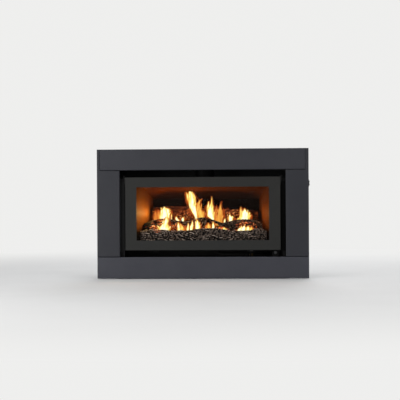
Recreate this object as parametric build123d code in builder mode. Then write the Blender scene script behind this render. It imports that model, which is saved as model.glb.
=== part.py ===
# A gas fireplace insert: a steel casing round a gas-log firebox, a window that tilts out
# at its foot, a burner and gas train below the firebox floor, a crossflow fan behind them,
# and a flat fascia of four panels. Millimetres, +Z up, the front faces -Y.
# The origin is the middle of the casing's underside.
from build123d import *
import os
from math import cos, radians, sin

os.makedirs("parts", exist_ok=True)

# ---------------------------------------------------------------- driving sizes (mm)
# fascia
fascia_width = 1056.0
fascia_height = 645.0
fascia_lift = 2.0  # from the floor to the fascia's foot
fascia_depth = 25.0
fascia_sheet = 2.0
fascia_edge_radius = 4.0
stile_width = 114.0
top_panel_height = 105.0
bottom_panel_height = 106.0
edge_band = 14.0  # the stiles' outer band, which runs on past the top panel
panel_joint = 1.5

# casing: the fascia covers it with a margin at each side and above
fascia_side_cover = 98.0
fascia_top_cover = 65.0
casing_width = fascia_width - 2 * fascia_side_cover
casing_height = fascia_height - fascia_top_cover
casing_depth = 380.0
casing_sheet = 2.0
casing_bend = 4.0
casing_lip = 12.0
anchor_hole_radius = 5.0
anchor_inset = 60.0

# window: it fills the fascia's opening but for a gap at each side and two air slots
window_side_gap = 26.0
window_slot = 33.0  # air slot between the bottom panel and the window
window_top_slot = 35.0  # air slot between the window and the top panel
window_width = fascia_width - 2 * stile_width - 2 * window_side_gap
window_height = fascia_height - top_panel_height - bottom_panel_height - window_slot - window_top_slot
window_recess = 12.0  # from the fascia's face back to the frame's face
window_frame_depth = 15.0
window_sheet = 3.0
window_edge_radius = 3.0
window_rim = 2.0
window_back_lip = 18.0
window_stile = 57.0
window_rail = 50.0
glass_thickness = 4.0
glass_overlap = 20.0
gasket_thickness = 3.5
gasket_step = 4.0  # the tape stays this far back from the sight edge
clip_sheet = 1.5
clip_width = 18.0
clip_bend = 2.5
clip_foot = 24.0
clip_edge_gap = 3.5
clip_reach = 11.0

# window hinge and catches
hinge_drop = 3.0  # the pin's axis lies this far above the frame's top edge
hinge_pin_radius = 3.0
hinge_fit = 0.08
hinge_ear_radius = 6.5
hinge_ear_sheet = 2.5
hinge_ear_length = 34.0
hinge_cheek_sheet = 3.0
hinge_side_gap = 1.0
hinge_foot_width = 15.0
hinge_bracket_drop = 26.0
hinge_head_radius = 5.0
hinge_head = 2.0
hinge_cheek_margin = 6.0  # round the pin's axis
hinge_foot_sheet = 3.0
stud_edge_radius = 1.2
stud_radius = 3.5
stud_hole_gap = 1.2
stud_end_gap = 4.0
catch_inset = 146.0  # from the window's side to its catch
catch_tab_width = 30.0
catch_tab_drop = 11.0
clip_gap = 0.7  # between a stud and the spring clip's leaves
spring_sheet = 1.2
spring_depth = 14.0
spring_leaf_width = 12.0
spring_foot = 7.5
spring_bend = 2.0
pull_tab_width = 13.0
pull_tab_drop = 4.0
pull_tab_inset = 4.0

# firebox
front_gap = 8.0  # from the casing's front flange to the firebox front plate
firebox_sheet = 2.0
opening_margin = 16.0
opening_corner = 3.0
floor_rise = 19.0  # from the window's foot to the top of the firebox floor
roof_drop = 7.0  # from the window's top edge down to the firebox roof
liner_thickness = 3.0
liner_gap = 0.3
back_liner_thickness = 5.0
liner_depth = 293.0
liner_taper = 71.0  # how far each side liner leans in towards the back
seal_width = 8.0
seal_inset = 8.0
seal_radius = 12.0
seal_gap = 0.3
baffle_sheet = 2.0
baffle_front = 38.0  # from the front plate to the baffle's front edge
baffle_front_drop = 14.0
baffle_log_gap = 33.0  # from the rear log's highest station to the baffle's back edge
baffle_lip = 9.0
baffle_side_gap = 0.6

# flue outlet
flue_inner_radius = 50.0
flue_outer_radius = 75.0
flue_wall = 1.5
flue_setback = 200.0  # from the casing's front to the flue's axis
flue_collar_height = 48.0
flue_spigot_drop = 6.0
flue_flange = 17.0
flue_foot = 12.0
deflector_reach = 66.0
deflector_sheet = 1.5
deflector_drop = 31.0
deflector_seam = 16.0
deflector_gap = 6.0

# burner
tray_width = 430.0
tray_depth = 160.0
tray_height = 26.0
tray_wall = 1.5
tray_setback = 90.0  # from the front plate's back to the tray
tray_corner = 12.0
port_length = 26.0
port_width = 3.0
port_pitch = 44.0
port_count = 9
port_edge = 18.0
tube_radius = 14.0
tube_wall = 1.5
tube_x = 60.0
tube_drop = 50.0
tube_bend = 26.0
tube_end_gap = 72.0  # from the mixing tube's open end to the valve
tube_flange = 6.0
tube_hole_gap = 0.5
tube_rise = 6.0  # how far the tube's mouth stands above the firebox floor
shutter_fit = 0.08
shutter_wall = 1.6
shutter_length = 22.0
shutter_setback = 3.0
shutter_window = 40.0  # degrees of the ring that each air window spans
shutter_rim = 5.0
shutter_lever = 12.0
shutter_lever_sheet = 2.0
shutter_lever_width = 8.0
injector_reach = 8.0
injector_nozzle_radius = 5.0
injector_hex = 14.0
injector_length = 14.0
injector_bore = 1.0
injector_entry = 2.0  # how far the nozzle reaches into the mixing tube
injector_chamfer = 1.5

# logs: the front log lies lowest, the rear log highest
log_side_gap = 4.0
front_log_setback = 55.0
front_log_seat = 22.0
middle_log_setback = 150.0
middle_log_seat = 66.0
rear_log_setback = 235.0
rear_log_seat = 125.0
front_log_thickness = 66.0
left_log_thickness = 68.0
right_log_thickness = 64.0
rear_log_thickness = 78.0
rear_log_tall = 78.0
left_log_end = 12.0
right_log_start = 70.0
log_flat = 5.0  # how much of each log's round underside is cut flat

# log grate
grate_bar = 6.0
grate_side_gap = 40.0
grate_rod_radius = 3.0
grate_peg = 7.0
grate_peg_width = 5.0
grate_log_gap = 3.5
grate_leg = 14.0
grate_depth = 13.0

# ember bed
bed_width = 400.0
bed_depth = 84.0
bed_height = 8.0
ember_radius = 9.0
ember_columns = 11
ember_rows = 2
ember_swing = 0.25

# pilot
pilot_x = 234.0
pilot_setback = 140.0
pilot_spacing = 18.0
pilot_block = 12.0
pilot_hood_radius = 5.0
pilot_hood_height = 40.0
pilot_hood_wall = 1.5
pilot_slot_width = 3.0
pilot_slot_depth = 8.0
pilot_corner = 2.0
electrode_radius = 2.5
electrode_height = 32.0
electrode_foot_radius = 4.0
electrode_wire_radius = 1.0
electrode_tip_rise = 8.0
electrode_tip_gap = 3.0
electrode_tip_bend = 4.0
sensor_radius = 3.0
sensor_height = 36.0
sensor_foot_radius = 5.0
sensor_foot = 8.0

# gas controls
control_side_gap = 48.0  # from the control plate to the casing's side
control_width = 112.0
control_setback = 18.0
control_sheet = 2.0
control_height = 98.0
control_foot = 40.0
valve_inset = 32.0
valve_z = 70.0
valve_width = 70.0
valve_depth = 60.0
valve_height = 50.0
valve_corner = 6.0
valve_chamfer = 1.5
valve_cap_radius = 14.0
valve_cap_rise = 8.0
valve_cap_shift = 8.0
spindle_radius = 4.0
spindle_length = 14.0
spindle_fit = 0.06
knob_radius = 17.0
knob_depth = 14.0
knob_skirt_radius = 20.0
knob_skirt = 2.5
knob_flutes = 12
knob_flute_radius = 3.0
knob_flute_depth = 1.5
knob_mark_width = 2.0
knob_mark_length = 13.0
knob_mark_depth = 1.0
knob_gap = 0.8
knob_bore_gap = 0.3
igniter_inset = 94.0
igniter_drop = 13.0  # from the window's foot
igniter_ear = 18.0
igniter_body_radius = 8.5
igniter_body_depth = 24.0
igniter_collar_radius = 6.8
igniter_hole_gap = 0.2
igniter_ear_rise = 11.0
igniter_bore_end = 4.0
button_radius = 8.0
button_depth = 7.0
button_edge_radius = 2.0
button_travel = 4.0
button_rest_gap = 0.5
button_guide = 12.0
button_stem_radius = 3.0
button_fit = 0.08
burner_pipe_radius = 4.0
pilot_pipe_radius = 2.5
supply_pipe_radius = 5.0
pipe_wall = 1.0
pipe_bend = 12.0
pilot_pipe_side = 20.0
pilot_pipe_lift = 14.0
supply_reach = 46.0
inlet_setback = 250.0
inlet_z = 40.0
inlet_radius = 10.5
inlet_length = 22.0
inlet_hex = 26.0
inlet_nut = 6.0
inlet_collar_radius = 14.0
inlet_collar = 2.0
inlet_hole_gap = 0.3
inlet_bore = 6.0

# fan
fan_back_gap = 50.0  # from the fan's axis to the casing's back
fan_axis_z = 52.0
fan_radius = 30.0
fan_length = 280.0
fan_blades = 18
fan_blade_length = 8.5
fan_blade_root = 21.0  # from the axis to the blades' inner edges
fan_blade_angle = 30.0
fan_blade_bow = 1.3
fan_blade_sheet = 1.2
fan_disc = 1.6
fan_disc_hole = 15.0
fan_shaft_radius = 3.0
fan_shaft_fit = 0.06
fan_clearance = 7.0
fan_mouth = 44.0
fan_sheet = 1.5
fan_tongue_reach = 22.0
fan_tongue_edge = 6.0
fan_tongue_gap = 3.0
fan_tongue_slope = 2.0
fan_tongue_bend = 3.0
fan_end_gap = 6.0
bearing_radius = 8.0
bearing_width = 5.0
bearing_seat_gap = 0.02
motor_radius = 26.0
motor_length = 46.0
motor_gap = 4.0
motor_foot = 30.0
motor_foot_inset = 6.0
motor_edge_radius = 3.0
motor_shaft_reach = 8.0
motor_bore_depth = 10.0

# electrics
box_width = 92.0
box_depth = 120.0
box_height = 60.0
box_setback = 210.0
box_radius = 3.0
box_lid = 2.0
box_lid_inset = 3.0
gland_radius = 11.0
gland_neck_radius = 7.8
gland_hole_gap = 0.2
gland_nose_radius = 10.0
gland_edge_radius = 2.0
gland_taper = 12.0
gland_length = 16.0
gland_z = 34.0
switch_drop = 174.0  # from the fascia's top
switch_half = 12.0
switch_bezel_height = 34.0
switch_bezel_width = 17.0
switch_bezel = 1.5
switch_depth = 20.0
switch_wall = 2.0
switch_corner = 2.0
switch_shift = 1.0
rocker_width = 8.4
rocker_proud = 5.5
rocker_pivot_depth = 4.0
rocker_pin_radius = 1.5
rocker_pin_fit = 0.08
rocker_gap = 0.3
rocker_swing_gap = 1.2
rocker_heel = 3.0
rocker_waist = 4.0
rocker_shoulder = 1.0
rocker_dish = 2.2
rocker_well = 8.0

# fascia fixings
panel_stud_z = (30.0, 80.0)
panel_stud_length = 36.0
panel_stud_inset = 10.0
panel_gap = 0.3  # between the pull-off panel's folded edge and the casing
bracket_sheet = 2.0
bracket_x = 200.0
bracket_width = 60.0
bracket_foot_height = 26.0
bracket_foot_width = 15.0
bracket_foot_reach = 16.0
bracket_foot_lift = 0.5
bracket_bend = 4.0

# ---------------------------------------------------------------- places worked out
front_y = -casing_depth / 2
back_y = casing_depth / 2
casing_half = casing_width / 2
inner_half = casing_half - casing_sheet
fascia_half = fascia_width / 2
fascia_front = front_y - fascia_depth
fascia_top_z = fascia_lift + fascia_height
bottom_joint_z = fascia_lift + bottom_panel_height
top_joint_z = fascia_top_z - top_panel_height
opening_half = fascia_half - stile_width
window_half = window_width / 2
catch_offset = window_half - catch_inset
window_z0 = bottom_joint_z + window_slot
window_z1 = window_z0 + window_height
window_front = fascia_front + window_recess
window_back = window_front + window_frame_depth
sight_half = window_half - window_stile
sight_z0 = window_z0 + window_rail
sight_z1 = window_z1 - window_rail
window_mid_z = (window_z0 + window_z1) / 2
gasket_front = window_front + window_sheet
glass_front = gasket_front + gasket_thickness
glass_back = glass_front + glass_thickness
hinge_y = window_back - 1.0
hinge_z = window_z1 + hinge_drop
ear_outer = window_half + hinge_ear_sheet
cheek_inner = ear_outer + hinge_side_gap
cheek_outer = cheek_inner + hinge_cheek_sheet
post_inner = cheek_inner + 0.5
post_top = window_z1 - roof_drop
plate_front = front_y + casing_sheet + front_gap
plate_back = plate_front + firebox_sheet
floor_z = window_z0 + floor_rise
roof_z = window_z1 - roof_drop
firebox_half = sight_half + opening_margin
liner_back_y = plate_back + liner_depth
liner_back_half = firebox_half - liner_taper
steel_back_y = liner_back_y + back_liner_thickness
seal_half = window_half - seal_inset
catch_z = window_z0 + stud_radius + 0.5
flue_y = front_y + flue_setback
flue_axis = Axis((0, flue_y, 0), (0, 0, 1))
control_y = front_y + control_setback
tray_front = plate_back + tray_setback
tray_back = tray_front + tray_depth
tray_mid = (tray_front + tray_back) / 2
fan_y = back_y - fan_back_gap
control_x = inner_half - control_side_gap - control_width
valve_x = control_x + valve_inset
igniter_x = control_x + igniter_inset
igniter_z = window_z0 - igniter_drop
tube_end_x = valve_x - tube_end_gap
switch_z = fascia_top_z - switch_drop
front_log_y = plate_back + front_log_setback
middle_log_y = plate_back + middle_log_setback
rear_log_y = plate_back + rear_log_setback
front_log_z = floor_z + front_log_seat
middle_log_z = floor_z + middle_log_seat
rear_log_z = floor_z + rear_log_seat
panel_stud_x = (opening_half + inner_half) / 2 - panel_stud_inset


def liner_half(y):
    """Half the clear width between the side liners at a depth."""
    taper = (firebox_half - liner_back_half) / liner_depth
    return firebox_half - taper * (y - plate_back)


def steel_half(y):
    """Half the clear width between the steel firebox sides at a depth."""
    return liner_half(y) + liner_thickness + liner_gap


def block(x_span, y_span, z_span, mode=Mode.ADD):
    """A block between two values on each axis."""
    with Locations((sum(x_span) / 2, sum(y_span) / 2, sum(z_span) / 2)):
        Box(x_span[1] - x_span[0], y_span[1] - y_span[0], z_span[1] - z_span[0], mode=mode)


def folded_sheet(points, sheet, bend, plane, width, side=Side.LEFT):
    """A sheet folded along a line of points and extruded both ways from its plane."""
    with BuildSketch(plane) as section:
        with BuildLine():
            FilletPolyline(*points, radius=bend)
            offset(amount=sheet, side=side)
        make_face()
    extrude(section.sketch, amount=width / 2, both=True)


def flat_sheet(points, plane, thickness, mode=Mode.ADD):
    """A flat sheet cut along a closed line of points."""
    with BuildSketch(plane) as outline:
        with BuildLine():
            Polyline(*points, close=True)
        make_face()
    extrude(outline.sketch, amount=thickness, mode=mode)


def pipe(points, radius, wall, bend):
    """A bent tube along a line of points."""
    with BuildLine(mode=Mode.PRIVATE) as route:
        FilletPolyline(*points, radius=bend)
    start = route.line @ 0
    with BuildSketch(Plane(origin=start, z_dir=route.line % 0)) as ring:
        Circle(radius)
        Circle(radius - wall, mode=Mode.SUBTRACT)
    sweep(ring.sketch, path=route.line)


def wide_frame(half, z_span, y_span, mode=Mode.ADD, corner=0.0):
    """A flat block seen from the front, with rounded corners if asked."""
    middle = (z_span[0] + z_span[1]) / 2
    with BuildSketch(Plane.XZ.offset(-y_span[1])) as face:
        with Locations((0, middle)):
            if corner > 0:
                RectangleRounded(2 * half, z_span[1] - z_span[0], corner)
            else:
                Rectangle(2 * half, z_span[1] - z_span[0])
    extrude(face.sketch, amount=y_span[1] - y_span[0], mode=mode)


# ---------------------------------------------------------------- casing
with BuildPart() as casing_base:
    base_fold = [(front_y, casing_lip), (front_y, 0), (back_y, 0)]
    folded_sheet(base_fold, casing_sheet, casing_bend, Plane.YZ, 2 * inner_half)
    with Locations((0, 0, casing_sheet)):
        with GridLocations(casing_width - 2 * anchor_inset, casing_depth - 2 * anchor_inset, 2, 2):
            Hole(anchor_hole_radius, depth=2 * casing_sheet)
casing_base.part.label = "casing_base"
export_step(casing_base.part, "parts/casing_base.step")

with BuildPart() as casing_top:
    top_fold = [
        (front_y, casing_height - casing_lip),
        (front_y, casing_height),
        (back_y, casing_height),
    ]
    folded_sheet(top_fold, casing_sheet, casing_bend, Plane.YZ, 2 * inner_half, Side.RIGHT)
    with Locations((0, flue_y, casing_height)):
        Hole(flue_outer_radius - flue_wall, depth=2 * casing_sheet)
    deflector_top = casing_height - casing_sheet
    deflector_fold = [
        (front_y + deflector_reach + deflector_seam, deflector_top),
        (front_y + deflector_reach, deflector_top),
        (front_y + deflector_gap, deflector_top - deflector_drop),
    ]
    folded_sheet(deflector_fold, deflector_sheet, casing_bend, Plane.YZ, 2 * (post_inner - deflector_gap))
casing_top.part.label = "casing_top"
export_step(casing_top.part, "parts/casing_top.step")

with BuildPart() as casing_back:
    back_fold = [
        (-inner_half, back_y - casing_lip),
        (-inner_half, back_y),
        (inner_half, back_y),
        (inner_half, back_y - casing_lip),
    ]
    back_plane = Plane.XY.offset(casing_height / 2)
    back_height = casing_height - 2 * casing_sheet
    folded_sheet(back_fold, casing_sheet, casing_bend, back_plane, back_height, Side.RIGHT)
casing_back.part.label = "casing_back"
export_step(casing_back.part, "parts/casing_back.step")

inlet_y = front_y + inlet_setback
box_mid_y = front_y + box_setback
side_fold = [(post_inner, front_y), (casing_half, front_y), (casing_half, back_y)]
with BuildPart() as casing_side:
    folded_sheet(side_fold, casing_sheet, casing_bend, Plane.XY.offset(casing_height / 2), casing_height)
    flange_span = (post_inner - 1, inner_half)
    flange_depth = (front_y - 1, front_y + casing_bend)
    block(flange_span, flange_depth, (-1, casing_lip + 1), Mode.SUBTRACT)
    block((post_inner - 1, casing_half + 1), flange_depth, (post_top, casing_height + 1), Mode.SUBTRACT)
    with BuildSketch(Plane.XZ.offset(-front_y - casing_sheet)) as stud_holes:
        with Locations(*[(panel_stud_x, z) for z in panel_stud_z]):
            Circle(stud_radius + stud_hole_gap)
    extrude(stud_holes.sketch, amount=2 * casing_sheet, mode=Mode.SUBTRACT)

with BuildPart() as casing_right:
    add(casing_side.part)
    with BuildSketch(Plane.YZ.offset(inner_half - 1)):
        with Locations((inlet_y, inlet_z)):
            Circle(inlet_radius)
    extrude(amount=casing_sheet + 2, mode=Mode.SUBTRACT)
casing_right.part.label = "casing_right"
export_step(casing_right.part, "parts/casing_right.step")

with BuildPart() as casing_left:
    mirror(casing_side.part, about=Plane.YZ)
    with BuildSketch(Plane.YZ.offset(-casing_half - 1)):
        with Locations((box_mid_y, gland_z)):
            Circle(gland_neck_radius + gland_hole_gap)
    extrude(amount=casing_sheet + 2, mode=Mode.SUBTRACT)
casing_left.part.label = "casing_left"
export_step(casing_left.part, "parts/casing_left.step")

# ---------------------------------------------------------------- firebox
with BuildPart() as firebox_front:
    opening_z = (sight_z0 - opening_margin, sight_z1 + opening_margin)
    wide_frame(inner_half, (window_z0, window_z1), (plate_front, plate_back))
    wide_frame(firebox_half, opening_z, (plate_front - 1, plate_back + 1), Mode.SUBTRACT,
               opening_corner)
    for side in (-1, 1):
        tab_x = (side * catch_offset - catch_tab_width / 2, side * catch_offset + catch_tab_width / 2)
        block(tab_x, (plate_front, plate_back), (window_z0 - catch_tab_drop, window_z0))
    with BuildSketch(Plane.XZ.offset(-plate_back)) as catch_holes:
        with Locations((-catch_offset, catch_z), (catch_offset, catch_z)):
            Circle(stud_radius + stud_hole_gap)
    extrude(catch_holes.sketch, amount=firebox_sheet, mode=Mode.SUBTRACT)
firebox_front.part.label = "firebox_front"
export_step(firebox_front.part, "parts/firebox_front.step")

with BuildPart() as firebox_right:
    side_outline = [
        (steel_half(plate_back), plate_back),
        (steel_half(steel_back_y), steel_back_y),
        (steel_half(steel_back_y) + firebox_sheet, steel_back_y),
        (steel_half(plate_back) + firebox_sheet, plate_back),
    ]
    flat_sheet(side_outline, Plane.XY.offset(floor_z), roof_z - floor_z)
firebox_right.part.label = "firebox_right"
export_step(firebox_right.part, "parts/firebox_right.step")

with BuildPart() as firebox_left:
    mirror(firebox_right.part, about=Plane.YZ)
firebox_left.part.label = "firebox_left"
export_step(firebox_left.part, "parts/firebox_left.step")

back_half = steel_half(steel_back_y) + firebox_sheet
with BuildPart() as firebox_back:
    wide_frame(back_half, (floor_z, roof_z), (steel_back_y, steel_back_y + firebox_sheet))
firebox_back.part.label = "firebox_back"
export_step(firebox_back.part, "parts/firebox_back.step")

front_half = steel_half(plate_back) + firebox_sheet
plan_outline = [
    (-front_half, plate_back),
    (front_half, plate_back),
    (back_half, steel_back_y),
    (back_half, steel_back_y + firebox_sheet),
    (-back_half, steel_back_y + firebox_sheet),
    (-back_half, steel_back_y),
]
tube_y = tray_mid
with BuildPart() as firebox_floor:
    flat_sheet(plan_outline, Plane.XY.offset(floor_z - firebox_sheet), firebox_sheet)
    with Locations((tube_x, tube_y, floor_z)):
        Hole(tube_radius + tube_hole_gap, depth=2 * firebox_sheet)
firebox_floor.part.label = "firebox_floor"
export_step(firebox_floor.part, "parts/firebox_floor.step")

with BuildPart() as firebox_roof:
    flat_sheet(plan_outline, Plane.XY.offset(roof_z), firebox_sheet)
    with Locations((0, flue_y, roof_z + firebox_sheet)):
        Hole(flue_inner_radius - flue_wall, depth=2 * firebox_sheet)
firebox_roof.part.label = "firebox_roof"
export_step(firebox_roof.part, "parts/firebox_roof.step")

with BuildPart() as liner_right:
    liner_outline = [
        (liner_half(plate_back), plate_back),
        (liner_half(liner_back_y), liner_back_y),
        (liner_half(liner_back_y) + liner_thickness, liner_back_y),
        (liner_half(plate_back) + liner_thickness, plate_back),
    ]
    flat_sheet(liner_outline, Plane.XY.offset(floor_z), roof_z - floor_z)
liner_right.part.label = "liner_right"
export_step(liner_right.part, "parts/liner_right.step")

with BuildPart() as liner_left:
    mirror(liner_right.part, about=Plane.YZ)
liner_left.part.label = "liner_left"
export_step(liner_left.part, "parts/liner_left.step")

with BuildPart() as liner_back:
    wide_frame(steel_half(steel_back_y) - liner_gap, (floor_z, roof_z), (liner_back_y, steel_back_y))
liner_back.part.label = "liner_back"
export_step(liner_back.part, "parts/liner_back.step")

baffle_front_y = plate_back + baffle_front
baffle_back_y = liner_back_y - baffle_side_gap
baffle_front_z = roof_z - baffle_front_drop
baffle_back_z = rear_log_z + rear_log_tall + baffle_log_gap
with BuildPart() as baffle:
    baffle_fold = [
        (baffle_back_y, baffle_back_z),
        (baffle_front_y, baffle_front_z),
        (baffle_front_y, baffle_front_z + baffle_lip),
    ]
    folded_sheet(baffle_fold, baffle_sheet, casing_bend, Plane.YZ, 2 * firebox_half, Side.RIGHT)
    baffle_plan = [
        (-liner_half(plate_back) + baffle_side_gap, plate_back),
        (liner_half(plate_back) - baffle_side_gap, plate_back),
        (liner_half(liner_back_y) - baffle_side_gap, liner_back_y),
        (-liner_half(liner_back_y) + baffle_side_gap, liner_back_y),
    ]
    flat_sheet(baffle_plan, Plane.XY.offset(floor_z), roof_z - floor_z, Mode.INTERSECT)
baffle.part.label = "baffle"
export_step(baffle.part, "parts/baffle.step")

with BuildPart() as window_seal:
    seal_z = (window_z0 + seal_inset, window_z1 - seal_inset)
    seal_y = (window_back + seal_gap, plate_front)
    wide_frame(seal_half, seal_z, seal_y, corner=seal_radius)
    inner_z = (seal_z[0] + seal_width, seal_z[1] - seal_width)
    wide_frame(seal_half - seal_width, inner_z, seal_y, Mode.SUBTRACT, seal_radius - seal_width)
    fillet(window_seal.faces().sort_by(Axis.Y)[0].edges(), seal_width / 3)
window_seal.part.label = "window_seal"
export_step(window_seal.part, "parts/window_seal.step")

# ---------------------------------------------------------------- flue outlet
with BuildPart() as flue_inner:
    spigot_top = casing_height + flue_collar_height - flue_spigot_drop
    foot_z = roof_z + firebox_sheet
    with BuildSketch(Plane.XZ.offset(-flue_y)):
        with BuildLine():
            Polyline(
                (flue_inner_radius - flue_wall, foot_z),
                (flue_inner_radius + flue_foot, foot_z),
                (flue_inner_radius + flue_foot, foot_z + firebox_sheet),
                (flue_inner_radius, foot_z + firebox_sheet),
                (flue_inner_radius, spigot_top),
                (flue_inner_radius - flue_wall, spigot_top),
                close=True,
            )
        make_face()
    revolve(axis=flue_axis)
flue_inner.part.label = "flue_inner"
export_step(flue_inner.part, "parts/flue_inner.step")

with BuildPart() as flue_outer:
    collar_top = casing_height + flue_collar_height
    with BuildSketch(Plane.XZ.offset(-flue_y)):
        with BuildLine():
            Polyline(
                (flue_outer_radius - flue_wall, casing_height),
                (flue_outer_radius + flue_flange, casing_height),
                (flue_outer_radius + flue_flange, casing_height + casing_sheet),
                (flue_outer_radius, casing_height + casing_sheet),
                (flue_outer_radius, collar_top),
                (flue_outer_radius - flue_wall, collar_top),
                close=True,
            )
        make_face()
    revolve(axis=flue_axis)
flue_outer.part.label = "flue_outer"
export_step(flue_outer.part, "parts/flue_outer.step")

# ---------------------------------------------------------------- burner
with BuildPart() as burner_tray:
    with BuildSketch(Plane.XY.offset(floor_z)):
        with Locations((0, tray_mid)):
            RectangleRounded(tray_width, tray_depth, tray_corner)
    extrude(amount=tray_height)
    fillet(burner_tray.faces().sort_by(Axis.Z)[-1].edges(), tray_wall * 2)
    offset(amount=-tray_wall, openings=burner_tray.faces().sort_by(Axis.Z)[0])
    port_rows = tray_depth - 2 * port_edge
    with BuildSketch(Plane.XY.offset(floor_z + tray_height)):
        with Locations((0, tray_mid)):
            with GridLocations(port_pitch, port_rows, port_count, 2):
                SlotOverall(port_length, port_width)
    extrude(amount=-2 * tray_wall, mode=Mode.SUBTRACT)
burner_tray.part.label = "burner_tray"
export_step(burner_tray.part, "parts/burner_tray.step")

tube_z = floor_z - tube_drop
shutter_x0 = tube_end_x - shutter_setback - shutter_length
with BuildPart() as burner_tube:
    tube_route = [
        (tube_x, tube_y, floor_z + tube_rise),
        (tube_x, tube_y, tube_z),
        (tube_end_x, tube_y, tube_z),
    ]
    pipe(tube_route, tube_radius, tube_wall, tube_bend)
    with BuildSketch(Plane.XY.offset(floor_z - firebox_sheet)):
        with Locations((tube_x, tube_y)):
            Circle(tube_radius + tube_flange)
            Circle(tube_radius - tube_wall / 2, mode=Mode.SUBTRACT)
    extrude(amount=-firebox_sheet)
    window_span = (shutter_x0 + shutter_rim, shutter_x0 + shutter_length - shutter_rim)
    window_half_height = tube_radius * sin(radians(shutter_window / 2))
    block(
        window_span,
        (tube_y - tube_radius - 1, tube_y + tube_radius + 1),
        (tube_z - window_half_height, tube_z + window_half_height),
        Mode.SUBTRACT,
    )
burner_tube.part.label = "burner_tube"
export_step(burner_tube.part, "parts/burner_tube.step")

with BuildPart() as air_shutter:
    shutter_inner = tube_radius + shutter_fit
    shutter_outer = shutter_inner + shutter_wall
    with BuildSketch(Plane.YZ.offset(shutter_x0)) as shutter_ring:
        with Locations((tube_y, tube_z)):
            Circle(shutter_outer)
            Circle(shutter_inner, mode=Mode.SUBTRACT)
    extrude(shutter_ring.sketch, amount=shutter_length)
    shutter_cut = shutter_outer * sin(radians(shutter_window / 2))
    block(
        window_span,
        (tube_y - shutter_outer - 1, tube_y + shutter_outer + 1),
        (tube_z - shutter_cut, tube_z + shutter_cut),
        Mode.SUBTRACT,
    )
    shutter_middle = shutter_x0 + shutter_length / 2
    lever_x = (shutter_middle - shutter_lever_sheet / 2, shutter_middle + shutter_lever_sheet / 2)
    lever_y = (tube_y - shutter_lever_width / 2, tube_y + shutter_lever_width / 2)
    lever_z = (tube_z + shutter_inner + shutter_wall / 2, tube_z + shutter_outer + shutter_lever)
    block(lever_x, lever_y, lever_z)
air_shutter.part.label = "air_shutter"
export_step(air_shutter.part, "parts/air_shutter.step")

injector_x0 = tube_end_x - injector_entry
injector_x1 = injector_x0 + injector_reach + injector_length
with BuildPart() as injector:
    with BuildSketch(Plane.YZ.offset(injector_x0)) as nozzle:
        with Locations((tube_y, tube_z)):
            Circle(injector_nozzle_radius)
    extrude(nozzle.sketch, amount=injector_reach)
    with BuildSketch(Plane.YZ.offset(injector_x0 + injector_reach)) as nut:
        with Locations((tube_y, tube_z)):
            RegularPolygon(injector_hex / 2, 6, major_radius=False)
    extrude(nut.sketch, amount=injector_length)
    with BuildSketch(Plane.YZ.offset(injector_x0)) as gas_hole:
        with Locations((tube_y, tube_z)):
            Circle(injector_bore)
    extrude(gas_hole.sketch, amount=injector_reach + injector_length, mode=Mode.SUBTRACT)
    nozzle_edge = injector.faces().sort_by(Axis.X)[0].edges().sort_by(SortBy.RADIUS)[-1]
    chamfer(nozzle_edge, injector_chamfer)
injector.part.label = "injector"
export_step(injector.part, "parts/injector.step")

# ---------------------------------------------------------------- pilot
pilot_y = plate_back + pilot_setback
with BuildPart() as pilot_burner:
    with BuildSketch(Plane.XY.offset(floor_z)):
        with Locations((pilot_x, pilot_y)):
            RectangleRounded(pilot_block, pilot_block, pilot_corner)
    extrude(amount=pilot_block)
    with Locations((pilot_x, pilot_y, floor_z + pilot_hood_height / 2)):
        Cylinder(pilot_hood_radius, pilot_hood_height)
    with Locations((pilot_x, pilot_y, floor_z + pilot_hood_height)):
        Hole(pilot_hood_radius - pilot_hood_wall, depth=pilot_hood_height / 2)
        Box(4 * pilot_hood_radius, pilot_slot_width, 2 * pilot_slot_depth, mode=Mode.SUBTRACT)
pilot_burner.part.label = "pilot_burner"
export_step(pilot_burner.part, "parts/pilot_burner.step")

with BuildPart() as spark_electrode:
    with Locations((pilot_x, pilot_y + pilot_spacing, floor_z + electrode_height / 2)):
        Cylinder(electrode_radius, electrode_height)
    with Locations((pilot_x, pilot_y + pilot_spacing, floor_z + electrode_height / 4)):
        Cylinder(electrode_foot_radius, electrode_height / 2)
    tip_z = floor_z + electrode_height + electrode_tip_rise
    tip_route = [
        (pilot_x, pilot_y + pilot_spacing, floor_z + electrode_height / 2),
        (pilot_x, pilot_y + pilot_spacing, tip_z),
        (pilot_x, pilot_y + pilot_hood_radius + electrode_tip_gap, tip_z),
    ]
    with BuildLine(mode=Mode.PRIVATE) as tip_line:
        FilletPolyline(*tip_route, radius=electrode_tip_bend)
    with BuildSketch(Plane(origin=tip_route[0], z_dir=(0, 0, 1))) as tip_wire:
        Circle(electrode_wire_radius)
    sweep(tip_wire.sketch, path=tip_line.line)
spark_electrode.part.label = "spark_electrode"
export_step(spark_electrode.part, "parts/spark_electrode.step")

with BuildPart() as flame_sensor:
    with Locations((pilot_x, pilot_y - pilot_spacing, floor_z + sensor_height / 2)):
        Cylinder(sensor_radius, sensor_height)
    with Locations((pilot_x, pilot_y - pilot_spacing, floor_z + sensor_foot / 2)):
        Cylinder(sensor_foot_radius, sensor_foot)
    fillet(flame_sensor.faces().sort_by(Axis.Z)[-1].edges(), sensor_radius * 0.8)
flame_sensor.part.label = "flame_sensor"
export_step(flame_sensor.part, "parts/flame_sensor.step")

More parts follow.
